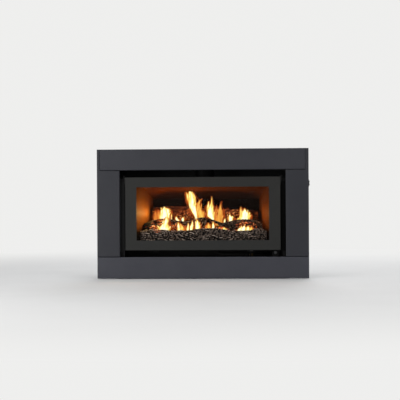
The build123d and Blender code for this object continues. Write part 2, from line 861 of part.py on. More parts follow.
# ---------------------------------------------------------------- logs
# Each log is a list of stations: place along its half length (-1 to 1), height of its
# top above its seat, and how far its middle stands forward or back of its axis.
front_log_form = [
    (-1.0, 56, 2), (-0.8, 68, -2), (-0.45, 60, 1), (-0.1, 68, -3),
    (0.25, 70, 2), (0.55, 58, -1), (0.82, 66, 2), (1.0, 52, 0),
]
left_log_form = [
    (-1.0, 50, 3), (-0.72, 68, -2), (-0.3, 74, 1), (0.15, 60, -3), (0.6, 70, 2), (1.0, 76, 0),
]
right_log_form = [(-1.0, 44, 0), (-0.5, 60, 2), (0.05, 70, -3), (0.6, 66, 2), (1.0, 46, 1)]
rear_log_form = [
    (-1.0, 72, 3), (-0.6, rear_log_tall, -3), (-0.2, 72, 2), (0.25, 60, -2), (0.7, 60, 3), (1.0, 50, 0),
]
# Each knot: place along X, height above the log's seat, direction, radius, length.
front_log_knots = [(-150, 40, (0.2, -1, 0.35), 12, 37), (205, 34, (-0.3, -1, 0.1), 10, 37)]
left_log_knots = [(-120, 44, (0.1, -0.8, 0.6), 11, 38)]
rear_log_knots = [(110, 36, (0.2, -0.5, 0.9), 12, 40)]
knot_taper = 8.0
# The branch of the forked log: place along X, forward of the log's axis, height, radius.
branch_form = [(118, 36, 22, 14), (86, 26, 40, 13), (16, 32, 68, 9)]
branch_way = (-0.95, 0, 0.38)


def log_body(x_span, axis_y, seat_z, form, thickness):
    """A cast log lofted through ovals, with its underside cut flat on its seat."""
    half = (x_span[1] - x_span[0]) / 2
    middle = (x_span[0] + x_span[1]) / 2
    rings = []
    for along, top, shift in form:
        tall = (top + log_flat) / 2
        centre = (middle + along * half, axis_y + shift, seat_z + top - tall)
        with BuildSketch(Plane(origin=centre, x_dir=(0, 1, 0), z_dir=(1, 0, 0))) as ring:
            Ellipse(min(tall, thickness / 2), tall)
        rings.append(ring.sketch)
    loft(rings)
    split(bisect_by=Plane.XY.offset(seat_z), keep=Keep.TOP)


def knots(stubs, axis_y, seat_z):
    """Short broken-off branches on a log."""
    for x, rise, direction, radius, length in stubs:
        with BuildSketch(Plane(origin=(x, axis_y, seat_z + rise), z_dir=direction)) as stub:
            Circle(radius)
        extrude(stub.sketch, amount=length, taper=knot_taper)


front_log_half = liner_half(front_log_y + front_log_thickness / 2) - log_side_gap
with BuildPart() as front_log:
    front_log_x = (-front_log_half, front_log_half)
    log_body(front_log_x, front_log_y, front_log_z, front_log_form, front_log_thickness)
    knots(front_log_knots, front_log_y, front_log_z)
front_log.part.label = "front_log"
export_step(front_log.part, "parts/front_log.step")

middle_log_half = liner_half(middle_log_y + left_log_thickness / 2) - log_side_gap
with BuildPart() as middle_log:
    left_log_x = (-middle_log_half, left_log_end)
    log_body(left_log_x, middle_log_y, middle_log_z, left_log_form, left_log_thickness)
    knots(left_log_knots, middle_log_y, middle_log_z)
middle_log.part.label = "middle_log"
export_step(middle_log.part, "parts/middle_log.step")

with BuildPart() as forked_log:
    right_log_x = (right_log_start, middle_log_half)
    log_body(right_log_x, middle_log_y, middle_log_z, right_log_form, right_log_thickness)
    branch_rings = []
    for branch_x, forward, rise, radius in branch_form:
        centre = (branch_x, middle_log_y - forward, middle_log_z + rise)
        with BuildSketch(Plane(origin=centre, z_dir=branch_way)) as branch_ring:
            Circle(radius)
        branch_rings.append(branch_ring.sketch)
    loft(branch_rings)
forked_log.part.label = "forked_log"
export_step(forked_log.part, "parts/forked_log.step")

rear_log_half = liner_half(rear_log_y + rear_log_thickness / 2) - log_side_gap
with BuildPart() as rear_log:
    rear_log_x = (-rear_log_half, rear_log_half)
    log_body(rear_log_x, rear_log_y, rear_log_z, rear_log_form, rear_log_thickness)
    knots(rear_log_knots, rear_log_y, rear_log_z)
rear_log.part.label = "rear_log"
export_step(rear_log.part, "parts/rear_log.step")

# The grate's bars climb in three steps, each with a peg in front of its log.
grate_half_span = liner_half(rear_log_y) - grate_side_gap
with BuildPart() as log_grate:
    peg_1 = front_log_y - front_log_thickness / 2 - grate_log_gap - grate_peg_width
    peg_2 = middle_log_y - left_log_thickness / 2 - grate_log_gap - grate_peg_width
    peg_3 = rear_log_y - rear_log_thickness / 2 - grate_log_gap - grate_peg_width
    bar_back = rear_log_y + rear_log_thickness / 2
    with BuildSketch(Plane.YZ.offset(grate_half_span)) as bar:
        with BuildLine():
            Polyline(
                (peg_1, floor_z),
                (peg_1, front_log_z + grate_peg),
                (peg_1 + grate_peg_width, front_log_z + grate_peg),
                (peg_1 + grate_peg_width, front_log_z),
                (peg_2, front_log_z),
                (peg_2, middle_log_z + grate_peg),
                (peg_2 + grate_peg_width, middle_log_z + grate_peg),
                (peg_2 + grate_peg_width, middle_log_z),
                (peg_3, middle_log_z),
                (peg_3, rear_log_z + grate_peg),
                (peg_3 + grate_peg_width, rear_log_z + grate_peg),
                (peg_3 + grate_peg_width, rear_log_z),
                (bar_back, rear_log_z),
                (bar_back, floor_z),
                (bar_back - grate_leg, floor_z),
                (bar_back - grate_leg, rear_log_z - grate_depth),
                (peg_3 + grate_leg, rear_log_z - grate_depth),
                (peg_3 + grate_leg, middle_log_z - grate_depth),
                (peg_2 + grate_leg, middle_log_z - grate_depth),
                (peg_2 + grate_leg, front_log_z - grate_depth),
                (peg_1 + grate_leg, front_log_z - grate_depth),
                (peg_1 + grate_leg, floor_z),
                close=True,
            )
        make_face()
    extrude(bar.sketch, amount=grate_bar / 2, both=True)
    mirror(about=Plane.YZ)
    front_rod = (peg_1 + grate_leg / 2, front_log_z - grate_depth / 2)
    rear_rod = (bar_back - grate_leg / 2, rear_log_z - grate_depth / 2)
    with BuildSketch(Plane.YZ) as rods:
        with Locations(front_rod, rear_rod):
            Circle(grate_rod_radius)
    extrude(rods.sketch, amount=grate_half_span, both=True)
log_grate.part.label = "log_grate"
export_step(log_grate.part, "parts/log_grate.step")

with BuildPart() as ember_bed:
    bed_z = floor_z + tray_height
    with BuildSketch(Plane.XY.offset(bed_z)):
        with Locations((0, tray_mid)):
            RectangleRounded(bed_width, bed_depth, bed_depth / 4)
    extrude(amount=bed_height)
    fillet(ember_bed.faces().sort_by(Axis.Z)[-1].edges(), bed_height / 2)
    pitch = (bed_width - 4 * ember_radius) / (ember_columns - 1)
    for row in range(ember_rows):
        for column in range(ember_columns - row):
            ember_x = -bed_width / 2 + 2 * ember_radius + (column + row / 2) * pitch
            ember_y = tray_mid + (row - 0.5) * bed_depth / 2
            size = ember_radius * (1 + ember_swing * sin(2.4 * column + row))
            with Locations((ember_x, ember_y, bed_z + bed_height)):
                Sphere(size, arc_size1=0)
ember_bed.part.label = "ember_bed"
export_step(ember_bed.part, "parts/ember_bed.step")

# ---------------------------------------------------------------- gas controls
control_back = control_y + control_sheet
with BuildPart() as control_plate:
    plate_fold = [
        (control_y, control_height + casing_sheet),
        (control_y, casing_sheet),
        (control_y + control_foot, casing_sheet),
    ]
    folded_sheet(plate_fold, control_sheet, casing_bend, Plane.YZ.offset(control_x + control_width / 2),
                 control_width)
    ear_x = (igniter_x - igniter_ear, control_x + control_width)
    block(ear_x, (control_y, control_back), (control_height, igniter_z + igniter_ear_rise))
    with BuildSketch(Plane.XZ.offset(-control_back)) as control_holes:
        with Locations((valve_x, valve_z)):
            Circle(2 * spindle_radius)
        with Locations((igniter_x, igniter_z)):
            Circle(igniter_collar_radius + igniter_hole_gap)
    extrude(control_holes.sketch, amount=control_sheet, mode=Mode.SUBTRACT)
control_plate.part.label = "control_plate"
export_step(control_plate.part, "parts/control_plate.step")

valve_back = control_back + valve_depth
valve_mid_y = (control_back + valve_back) / 2
with BuildPart() as gas_valve:
    with BuildSketch(Plane.XZ.offset(-control_back)) as valve_face:
        with Locations((valve_x, valve_z)):
            RectangleRounded(valve_width, valve_height, valve_corner)
    extrude(valve_face.sketch, amount=-valve_depth)
    with Locations((valve_x - valve_cap_shift, valve_mid_y, valve_z + valve_height / 2)):
        Cylinder(valve_cap_radius, 2 * valve_cap_rise)
    chamfer(gas_valve.faces().sort_by(Axis.Z)[-1].edges(), valve_chamfer)
    with BuildSketch(Plane.XZ.offset(-control_back)) as spindle:
        with Locations((valve_x, valve_z)):
            Circle(spindle_radius)
    extrude(spindle.sketch, amount=control_sheet + spindle_length)
gas_valve.part.label = "gas_valve"
export_step(gas_valve.part, "parts/gas_valve.step")

knob_back = control_y - knob_gap
knob_front = knob_back - knob_depth
with BuildPart() as control_knob:
    with BuildSketch(Plane.XZ.offset(-knob_back)) as knob_skirt_face:
        with Locations((valve_x, valve_z)):
            Circle(knob_skirt_radius)
    extrude(knob_skirt_face.sketch, amount=knob_skirt)
    with BuildSketch(Plane.XZ.offset(-knob_back)) as knob_face:
        with Locations((valve_x, valve_z)):
            Circle(knob_radius)
            with PolarLocations(knob_radius + knob_flute_radius - knob_flute_depth, knob_flutes):
                Circle(knob_flute_radius, mode=Mode.SUBTRACT)
    extrude(knob_face.sketch, amount=knob_depth)
    with BuildSketch(Plane.XZ.offset(-knob_front)) as knob_mark:
        with Locations((valve_x, valve_z + knob_radius / 2)):
            Rectangle(knob_mark_width, knob_mark_length)
    extrude(knob_mark.sketch, amount=-knob_mark_depth, mode=Mode.SUBTRACT)
    with BuildSketch(Plane.XZ.offset(-knob_back)) as knob_bore:
        with Locations((valve_x, valve_z)):
            Circle(spindle_radius + spindle_fit)
    extrude(knob_bore.sketch, amount=spindle_length - knob_gap + knob_bore_gap, mode=Mode.SUBTRACT)
control_knob.part.label = "control_knob"
export_step(control_knob.part, "parts/control_knob.step")

with BuildPart() as igniter_body:
    with BuildSketch(Plane.XZ.offset(-control_y)) as igniter_collar:
        with Locations((igniter_x, igniter_z)):
            Circle(igniter_collar_radius)
    extrude(igniter_collar.sketch, amount=-control_sheet)
    with BuildSketch(Plane.XZ.offset(-control_back)) as igniter_case:
        with Locations((igniter_x, igniter_z)):
            Circle(igniter_body_radius)
    extrude(igniter_case.sketch, amount=-igniter_body_depth)
    with BuildSketch(Plane.XZ.offset(-control_y)) as igniter_bore:
        with Locations((igniter_x, igniter_z)):
            Circle(button_stem_radius + button_fit)
    extrude(igniter_bore.sketch, amount=-igniter_body_depth + igniter_bore_end, mode=Mode.SUBTRACT)
igniter_body.part.label = "igniter_body"
export_step(igniter_body.part, "parts/igniter_body.step")

button_back = control_y - button_travel - button_rest_gap
with BuildPart() as igniter_button:
    with BuildSketch(Plane.XZ.offset(-button_back)) as button_face:
        with Locations((igniter_x, igniter_z)):
            Circle(button_radius)
    extrude(button_face.sketch, amount=button_depth)
    fillet(igniter_button.faces().sort_by(Axis.Y)[0].edges(), button_edge_radius)
    with BuildSketch(Plane.XZ.offset(-button_back)) as button_stem:
        with Locations((igniter_x, igniter_z)):
            Circle(button_stem_radius)
    extrude(button_stem.sketch, amount=-(button_travel + button_guide))
igniter_button.part.label = "igniter_button"
export_step(igniter_button.part, "parts/igniter_button.step")

with BuildPart() as burner_pipe:
    burner_route = [
        (valve_x, valve_back, valve_z),
        (valve_x, tube_y, valve_z),
        (valve_x, tube_y, tube_z),
        (injector_x1, tube_y, tube_z),
    ]
    pipe(burner_route, burner_pipe_radius, pipe_wall, pipe_bend)
burner_pipe.part.label = "burner_pipe"
export_step(burner_pipe.part, "parts/burner_pipe.step")

with BuildPart() as pilot_pipe:
    pilot_pipe_x = valve_x + pilot_pipe_side
    pilot_pipe_z = valve_z + pilot_pipe_lift
    pilot_route = [
        (pilot_pipe_x, valve_back, pilot_pipe_z),
        (pilot_pipe_x, pilot_y, pilot_pipe_z),
        (pilot_x, pilot_y, pilot_pipe_z),
        (pilot_x, pilot_y, floor_z - firebox_sheet),
    ]
    pipe(pilot_route, pilot_pipe_radius, pipe_wall, pipe_bend)
pilot_pipe.part.label = "pilot_pipe"
export_step(pilot_pipe.part, "parts/pilot_pipe.step")

valve_right = valve_x + valve_width / 2
with BuildPart() as gas_inlet:
    supply_x = valve_right + supply_reach
    inlet_face = inner_half - inlet_nut
    supply_route = [
        (inlet_face, inlet_y, inlet_z),
        (supply_x, inlet_y, inlet_z),
        (supply_x, valve_mid_y, inlet_z),
        (supply_x, valve_mid_y, valve_z),
        (valve_right, valve_mid_y, valve_z),
    ]
    pipe(supply_route, supply_pipe_radius, pipe_wall, pipe_bend)
    with BuildSketch(Plane.YZ.offset(inlet_face)) as inlet_body:
        with Locations((inlet_y, inlet_z)):
            Circle(inlet_radius - inlet_hole_gap)
    extrude(inlet_body.sketch, amount=casing_half + inlet_length - inlet_face)
    with BuildSketch(Plane.YZ.offset(inlet_face)) as inlet_nut_face:
        with Locations((inlet_y, inlet_z)):
            RegularPolygon(inlet_hex / 2, 6, major_radius=False)
    extrude(inlet_nut_face.sketch, amount=inlet_nut)
    # the collar outside holds the casing's side against the nut inside
    with BuildSketch(Plane.YZ.offset(casing_half)) as inlet_collar_face:
        with Locations((inlet_y, inlet_z)):
            Circle(inlet_collar_radius)
    extrude(inlet_collar_face.sketch, amount=inlet_collar)
    with BuildSketch(Plane.YZ.offset(inlet_face)) as inlet_hole:
        with Locations((inlet_y, inlet_z)):
            Circle(inlet_bore / 2)
    extrude(inlet_hole.sketch, amount=casing_half + inlet_length - inlet_face, mode=Mode.SUBTRACT)
gas_inlet.part.label = "gas_inlet"
export_step(gas_inlet.part, "parts/gas_inlet.step")

# ---------------------------------------------------------------- crossflow fan
fan_half = fan_length / 2
housing_half = fan_half + fan_end_gap
shaft_left = -housing_half - bearing_width
motor_x0 = housing_half + fan_sheet + motor_gap
with BuildPart() as fan_impeller:
    blade_way = Vector(cos(radians(fan_blade_angle)), sin(radians(fan_blade_angle)))
    blade_across = Vector(-blade_way.Y, blade_way.X)
    root_in = Vector(fan_blade_root, 0)
    tip_in = root_in + blade_way * fan_blade_length
    middle_in = root_in + blade_way * (fan_blade_length / 2) - blade_across * fan_blade_bow
    root_out = root_in + blade_across * fan_blade_sheet
    tip_out = tip_in + blade_across * fan_blade_sheet
    middle_out = middle_in + blade_across * fan_blade_sheet
    with BuildSketch(mode=Mode.PRIVATE) as blade:
        with BuildLine():
            ThreePointArc(root_in, middle_in, tip_in)
            Line(tip_in, tip_out)
            ThreePointArc(tip_out, middle_out, root_out)
            Line(root_out, root_in)
        make_face()
    with BuildSketch(Plane.YZ.offset(-fan_half)) as blades:
        with Locations((fan_y, fan_axis_z)):
            with PolarLocations(0, fan_blades):
                add(blade.sketch)
    extrude(blades.sketch, amount=fan_length)
    for disc_x in (-fan_half, -fan_disc / 2, fan_half - fan_disc):
        with BuildSketch(Plane.YZ.offset(disc_x)) as disc:
            with Locations((fan_y, fan_axis_z)):
                Circle(fan_radius)
                if disc_x == -fan_disc / 2:
                    Circle(fan_disc_hole, mode=Mode.SUBTRACT)
        extrude(disc.sketch, amount=fan_disc)
    with BuildSketch(Plane.YZ.offset(shaft_left)) as shaft:
        with Locations((fan_y, fan_axis_z)):
            Circle(fan_shaft_radius)
    extrude(shaft.sketch, amount=motor_x0 + motor_shaft_reach - shaft_left)
fan_impeller.part.label = "fan_impeller"
export_step(fan_impeller.part, "parts/fan_impeller.step")

with BuildPart() as fan_housing:
    scroll_radius = fan_radius + fan_clearance
    scroll_foot = fan_axis_z - scroll_radius
    scroll_back = fan_y + scroll_radius
    mouth_z = fan_axis_z + fan_mouth
    with BuildSketch(Plane.YZ) as scroll:
        with BuildLine():
            Line((fan_y - scroll_radius, scroll_foot), (fan_y, scroll_foot))
            RadiusArc((fan_y, scroll_foot), (scroll_back, fan_axis_z), -scroll_radius)
            Line((scroll_back, fan_axis_z), (scroll_back, mouth_z))
            Line((scroll_back, mouth_z), (scroll_back + fan_sheet, mouth_z))
            Line((scroll_back + fan_sheet, mouth_z), (scroll_back + fan_sheet, fan_axis_z))
            RadiusArc(
                (scroll_back + fan_sheet, fan_axis_z),
                (fan_y, scroll_foot - fan_sheet),
                scroll_radius + fan_sheet,
            )
            Line((fan_y, scroll_foot - fan_sheet), (fan_y - scroll_radius, scroll_foot - fan_sheet))
            Line((fan_y - scroll_radius, scroll_foot - fan_sheet), (fan_y - scroll_radius, scroll_foot))
        make_face()
    extrude(scroll.sketch, amount=housing_half, both=True)
    tongue_z = fan_axis_z + fan_radius + fan_tongue_gap
    tongue_fold = [
        (fan_y - fan_tongue_reach, tongue_z),
        (fan_y - fan_tongue_edge, tongue_z + fan_tongue_slope),
        (fan_y - fan_tongue_edge, mouth_z),
    ]
    folded_sheet(tongue_fold, fan_sheet, fan_tongue_bend, Plane.YZ, 2 * housing_half)
    end_outline = [
        (fan_y - scroll_radius, casing_sheet),
        (scroll_back + fan_sheet, casing_sheet),
        (scroll_back + fan_sheet, mouth_z),
        (fan_y - fan_tongue_reach, mouth_z),
        (fan_y - scroll_radius, fan_axis_z),
    ]
    for end_x in (-housing_half - fan_sheet, housing_half):
        flat_sheet(end_outline, Plane.YZ.offset(end_x), fan_sheet)
        with BuildSketch(Plane.YZ.offset(end_x)) as bearing_seat:
            with Locations((fan_y, fan_axis_z)):
                Circle(bearing_radius)
        extrude(bearing_seat.sketch, amount=fan_sheet, mode=Mode.SUBTRACT)
fan_housing.part.label = "fan_housing"
export_step(fan_housing.part, "parts/fan_housing.step")

with BuildPart() as fan_bearings:
    for bearing_x in (-housing_half - fan_sheet, housing_half + fan_sheet - bearing_width):
        with BuildSketch(Plane.YZ.offset(bearing_x)) as bearing:
            with Locations((fan_y, fan_axis_z)):
                Circle(bearing_radius - bearing_seat_gap)
                Circle(fan_shaft_radius + fan_shaft_fit, mode=Mode.SUBTRACT)
        extrude(bearing.sketch, amount=bearing_width)
fan_bearings.part.label = "fan_bearings"
export_step(fan_bearings.part, "parts/fan_bearings.step")

with BuildPart() as fan_motor:
    with BuildSketch(Plane.YZ.offset(motor_x0)) as motor_can:
        with Locations((fan_y, fan_axis_z)):
            Circle(motor_radius)
    extrude(motor_can.sketch, amount=motor_length)
    fillet(fan_motor.edges().filter_by(GeomType.CIRCLE), motor_edge_radius)
    foot_x = (motor_x0 + motor_foot_inset, motor_x0 + motor_length - motor_foot_inset)
    foot_y = (fan_y - motor_foot / 2, fan_y + motor_foot / 2)
    block(foot_x, foot_y, (casing_sheet, fan_axis_z - motor_radius / 2))
    with BuildSketch(Plane.YZ.offset(motor_x0)) as motor_bore:
        with Locations((fan_y, fan_axis_z)):
            Circle(fan_shaft_radius + fan_shaft_fit)
    extrude(motor_bore.sketch, amount=motor_bore_depth, mode=Mode.SUBTRACT)
fan_motor.part.label = "fan_motor"
export_step(fan_motor.part, "parts/fan_motor.step")

# ---------------------------------------------------------------- electrics
with BuildPart() as control_box:
    box_x = (-inner_half, -inner_half + box_width)
    box_y = (box_mid_y - box_depth / 2, box_mid_y + box_depth / 2)
    block(box_x, box_y, (casing_sheet, casing_sheet + box_height))
    fillet(control_box.edges().filter_by(Axis.Z), box_radius)
    lid_z = casing_sheet + box_height
    with BuildSketch(Plane.XY.offset(lid_z)) as lid:
        with Locations(((box_x[0] + box_x[1]) / 2, box_mid_y)):
            RectangleRounded(box_width - 2 * box_lid_inset, box_depth - 2 * box_lid_inset, box_radius)
    extrude(lid.sketch, amount=box_lid)
    with BuildSketch(Plane.YZ.offset(-inner_half)) as gland_neck:
        with Locations((box_mid_y, gland_z)):
            Circle(gland_neck_radius)
    extrude(gland_neck.sketch, amount=-casing_sheet)
    with BuildSketch(Plane.YZ.offset(-casing_half)) as gland_hex:
        with Locations((box_mid_y, gland_z)):
            RegularPolygon(gland_radius, 6, major_radius=False)
    extrude(gland_hex.sketch, amount=-gland_length / 3)
    with BuildSketch(Plane.YZ.offset(-casing_half - gland_length / 3)) as gland_nose:
        with Locations((box_mid_y, gland_z)):
            Circle(gland_nose_radius)
    extrude(gland_nose.sketch, amount=-gland_length * 2 / 3, taper=gland_taper)
    fillet(control_box.faces().sort_by(Axis.X)[0].edges(), gland_edge_radius)
control_box.part.label = "control_box"
export_step(control_box.part, "parts/control_box.step")

switch_y = fascia_front + fascia_depth / 2 + switch_shift
cavity_half = switch_half + rocker_swing_gap
cavity_y = rocker_width / 2 + rocker_gap
case_y = cavity_y + switch_wall
case_half = cavity_half + switch_wall
pivot_x = fascia_half - rocker_pivot_depth
with BuildPart() as switch_body:
    case_x = (fascia_half - switch_depth, fascia_half)
    block(case_x, (switch_y - case_y, switch_y + case_y), (switch_z - case_half, switch_z + case_half))
    with BuildSketch(Plane.YZ.offset(fascia_half)) as bezel:
        with Locations((switch_y, switch_z)):
            RectangleRounded(switch_bezel_width, switch_bezel_height, switch_corner)
    extrude(bezel.sketch, amount=switch_bezel)
    cavity_x = (pivot_x - rocker_well, fascia_half + switch_bezel + 1)
    block(
        cavity_x,
        (switch_y - cavity_y, switch_y + cavity_y),
        (switch_z - cavity_half, switch_z + cavity_half),
        Mode.SUBTRACT,
    )
    with BuildSketch(Plane.XZ.offset(-switch_y)) as pin_holes:
        with Locations((pivot_x, switch_z)):
            Circle(rocker_pin_radius + rocker_pin_fit)
    extrude(pin_holes.sketch, amount=case_y, both=True, mode=Mode.SUBTRACT)
switch_body.part.label = "switch_body"
export_step(switch_body.part, "parts/switch_body.step")

with BuildPart() as rocker:
    proud_x = fascia_half + rocker_proud
    heel_x = pivot_x - rocker_heel
    brow_x = fascia_half - rocker_shoulder
    tip_rise = switch_half - rocker_shoulder
    with BuildSketch(Plane.XZ.offset(-switch_y)) as rocker_side:
        with BuildLine():
            Polyline(
                (proud_x, switch_z + tip_rise),
                (brow_x, switch_z + switch_half),
                (heel_x, switch_z + rocker_waist),
                (heel_x, switch_z - rocker_waist),
                (brow_x, switch_z - switch_half),
                (proud_x, switch_z - tip_rise),
            )
            ThreePointArc(
                (proud_x, switch_z - tip_rise),
                (proud_x - rocker_dish, switch_z),
                (proud_x, switch_z + tip_rise),
            )
        make_face()
    extrude(rocker_side.sketch, amount=rocker_width / 2, both=True)
    with BuildSketch(Plane.XZ.offset(-switch_y)) as rocker_pin:
        with Locations((pivot_x, switch_z)):
            Circle(rocker_pin_radius)
    extrude(rocker_pin.sketch, amount=case_y - rocker_gap, both=True)
rocker.part.label = "rocker"
export_step(rocker.part, "parts/rocker.step")

# ---------------------------------------------------------------- window
with BuildPart() as window_frame:
    wide_frame(window_half, (window_z0, window_z1), (window_front, window_back))
    front_edges = window_frame.faces().sort_by(Axis.Y)[0].edges()
    fillet(front_edges, window_edge_radius)
    rim_z = (window_z0 + window_rim, window_z1 - window_rim)
    inside_y = (gasket_front, window_back - window_rim)
    wide_frame(window_half - window_rim, rim_z, inside_y, Mode.SUBTRACT)
    back_z = (window_z0 + window_back_lip, window_z1 - window_back_lip)
    back_y_span = (window_back - window_rim, window_back)
    wide_frame(window_half - window_back_lip, back_z, back_y_span, Mode.SUBTRACT)
    skin_y = (window_front, gasket_front)
    wide_frame(sight_half, (sight_z0, sight_z1), skin_y, Mode.SUBTRACT)
    tab_x = (catch_offset - pull_tab_width / 2, catch_offset + pull_tab_width / 2)
    tab_y = (window_front + pull_tab_inset, window_back - window_rim)
    block(tab_x, tab_y, (window_z0 - pull_tab_drop, window_z0))
window_frame.part.label = "window_frame"
export_step(window_frame.part, "parts/window_frame.step")

glass_half = sight_half + glass_overlap
glass_z = (sight_z0 - glass_overlap, sight_z1 + glass_overlap)
with BuildPart() as window_glass:
    wide_frame(glass_half, glass_z, (glass_front, glass_back))
window_glass.part.label = "window_glass"
export_step(window_glass.part, "parts/window_glass.step")

with BuildPart() as glass_gasket:
    wide_frame(glass_half, glass_z, (gasket_front, glass_front))
    tape_z = (sight_z0 - gasket_step, sight_z1 + gasket_step)
    wide_frame(sight_half + gasket_step, tape_z, (gasket_front, glass_front), Mode.SUBTRACT)
glass_gasket.part.label = "glass_gasket"
export_step(glass_gasket.part, "parts/glass_gasket.step")

with BuildPart() as one_clip:
    clip_rise = glass_back - gasket_front
    clip_fold = [
        (0, -clip_foot),
        (0, -clip_edge_gap),
        (clip_rise, -clip_edge_gap),
        (clip_rise, clip_reach),
    ]
    folded_sheet(clip_fold, clip_sheet, clip_bend, Plane.YZ, clip_width, Side.RIGHT)
clip_places = [
    Location((-glass_half / 2, gasket_front, glass_z[0]), (0, 0, 0)),
    Location((glass_half / 2, gasket_front, glass_z[0]), (0, 0, 0)),
    Location((-glass_half / 2, gasket_front, glass_z[1]), (0, 180, 0)),
    Location((glass_half / 2, gasket_front, glass_z[1]), (0, 180, 0)),
    Location((-glass_half, gasket_front, window_mid_z), (0, 90, 0)),
    Location((glass_half, gasket_front, window_mid_z), (0, -90, 0)),
]
with BuildPart() as glass_clips:
    with Locations(*clip_places):
        add(one_clip.part)
glass_clips.part.label = "glass_clips"
export_step(glass_clips.part, "parts/glass_clips.step")

with BuildPart() as hinge_pins:
    ear_front = window_front + window_rim
    ear_back = window_back - window_rim
    with BuildSketch(Plane.YZ.offset(window_half)) as ear:
        with Locations(((ear_front + ear_back) / 2, window_z1 - hinge_ear_length / 2)):
            Rectangle(ear_back - ear_front, hinge_ear_length)
        with Locations((hinge_y, hinge_z)):
            Circle(hinge_ear_radius)
        make_hull()
    extrude(ear.sketch, amount=hinge_ear_sheet)
    with BuildSketch(Plane.YZ.offset(window_half)) as pin:
        with Locations((hinge_y, hinge_z)):
            Circle(hinge_pin_radius)
    pin_end = cheek_outer + hinge_side_gap / 2
    extrude(pin.sketch, amount=pin_end - window_half)
    with BuildSketch(Plane.YZ.offset(pin_end)) as pin_head:
        with Locations((hinge_y, hinge_z)):
            Circle(hinge_head_radius)
    extrude(pin_head.sketch, amount=hinge_head)
    mirror(about=Plane.YZ)
hinge_pins.part.label = "hinge_pins"
export_step(hinge_pins.part, "parts/hinge_pins.step")

with BuildPart() as hinge_brackets:
    cheek_foot = hinge_z - hinge_bracket_drop
    cheek_outline = [
        (window_front, cheek_foot),
        (front_y, cheek_foot),
        (front_y, post_top + hinge_side_gap),
        (hinge_y + hinge_cheek_margin, post_top + hinge_side_gap),
        (hinge_y + hinge_cheek_margin, hinge_z + hinge_cheek_margin),
        (window_front, hinge_z + hinge_cheek_margin),
    ]
    flat_sheet(cheek_outline, Plane.YZ.offset(cheek_inner), hinge_cheek_sheet)
    foot_x = (cheek_outer, cheek_outer + hinge_foot_width)
    block(foot_x, (front_y - hinge_foot_sheet, front_y), (cheek_foot, post_top))
    with BuildSketch(Plane.YZ.offset(cheek_inner)) as pivot_hole:
        with Locations((hinge_y, hinge_z)):
            Circle(hinge_pin_radius + hinge_fit)
    extrude(pivot_hole.sketch, amount=hinge_cheek_sheet, mode=Mode.SUBTRACT)
    mirror(about=Plane.YZ)
hinge_brackets.part.label = "hinge_brackets"
export_step(hinge_brackets.part, "parts/hinge_brackets.step")

with BuildPart() as catch_studs:
    with BuildSketch(Plane.XZ.offset(-window_back)) as stud_faces:
        with Locations((-catch_offset, catch_z), (catch_offset, catch_z)):
            Circle(stud_radius)
    extrude(stud_faces.sketch, amount=-(plate_back + spring_depth - stud_end_gap - window_back))
    fillet(catch_studs.faces().sort_by(Axis.Y)[-2:].edges(), stud_edge_radius)
catch_studs.part.label = "catch_studs"
export_step(catch_studs.part, "parts/catch_studs.step")

with BuildPart() as one_spring_clip:
    leaf = stud_radius + clip_gap
    spring_fold = [
        (0, leaf + spring_foot),
        (0, leaf),
        (spring_depth, leaf),
        (spring_depth, -leaf),
        (0, -leaf),
        (0, -leaf - spring_foot),
    ]
    folded_sheet(spring_fold, spring_sheet, spring_bend, Plane.YZ, spring_leaf_width)
clip_spots = [(side * catch_offset, plate_back, catch_z) for side in (-1, 1)]
for stud_z in panel_stud_z:
    clip_spots += [(side * panel_stud_x, front_y + casing_sheet, stud_z) for side in (-1, 1)]
with BuildPart() as spring_clips:
    with Locations(*clip_spots):
        add(one_spring_clip.part)
spring_clips.part.label = "spring_clips"
export_step(spring_clips.part, "parts/spring_clips.step")

# ---------------------------------------------------------------- fascia


def folded_tray(outline):
    """A shallow tray: an outline with folded sides, rounded at the front and open behind."""
    extrude(outline.sketch, amount=fascia_depth)
    tray = BuildPart._get_context()
    fillet(tray.faces().sort_by(Axis.Y)[0].edges(), fascia_edge_radius)
    with BuildSketch(Plane.XZ.offset(-front_y)) as hollow:
        add(outline.sketch_local)
        offset(amount=-fascia_sheet, kind=Kind.INTERSECTION)
    extrude(hollow.sketch, amount=fascia_depth - fascia_sheet, mode=Mode.SUBTRACT)


with BuildPart() as fascia_top:
    with BuildSketch(Plane.XZ.offset(-front_y), mode=Mode.PRIVATE) as top_outline:
        with Locations((0, (top_joint_z + fascia_top_z) / 2)):
            Rectangle(2 * (fascia_half - edge_band - panel_joint), top_panel_height)
    folded_tray(top_outline)
fascia_top.part.label = "fascia_top"
export_step(fascia_top.part, "parts/fascia_top.step")

stile_points = [
    (opening_half, bottom_joint_z + panel_joint),
    (fascia_half, bottom_joint_z + panel_joint),
    (fascia_half, fascia_top_z),
    (fascia_half - edge_band, fascia_top_z),
    (fascia_half - edge_band, top_joint_z - panel_joint),
    (opening_half, top_joint_z - panel_joint),
]
with BuildPart() as fascia_stile:
    with BuildSketch(Plane.XZ.offset(-front_y), mode=Mode.PRIVATE) as stile_outline:
        with BuildLine():
            Polyline(*stile_points, close=True)
        make_face()
    folded_tray(stile_outline)

with BuildPart() as fascia_left:
    mirror(fascia_stile.part, about=Plane.YZ)
fascia_left.part.label = "fascia_left"
export_step(fascia_left.part, "parts/fascia_left.step")

with BuildPart() as fascia_right:
    add(fascia_stile.part)
    block(
        (fascia_half - fascia_sheet - 1, fascia_half + 1),
        (switch_y - case_y, switch_y + case_y),
        (switch_z - case_half, switch_z + case_half),
        Mode.SUBTRACT,
    )
fascia_right.part.label = "fascia_right"
export_step(fascia_right.part, "parts/fascia_right.step")

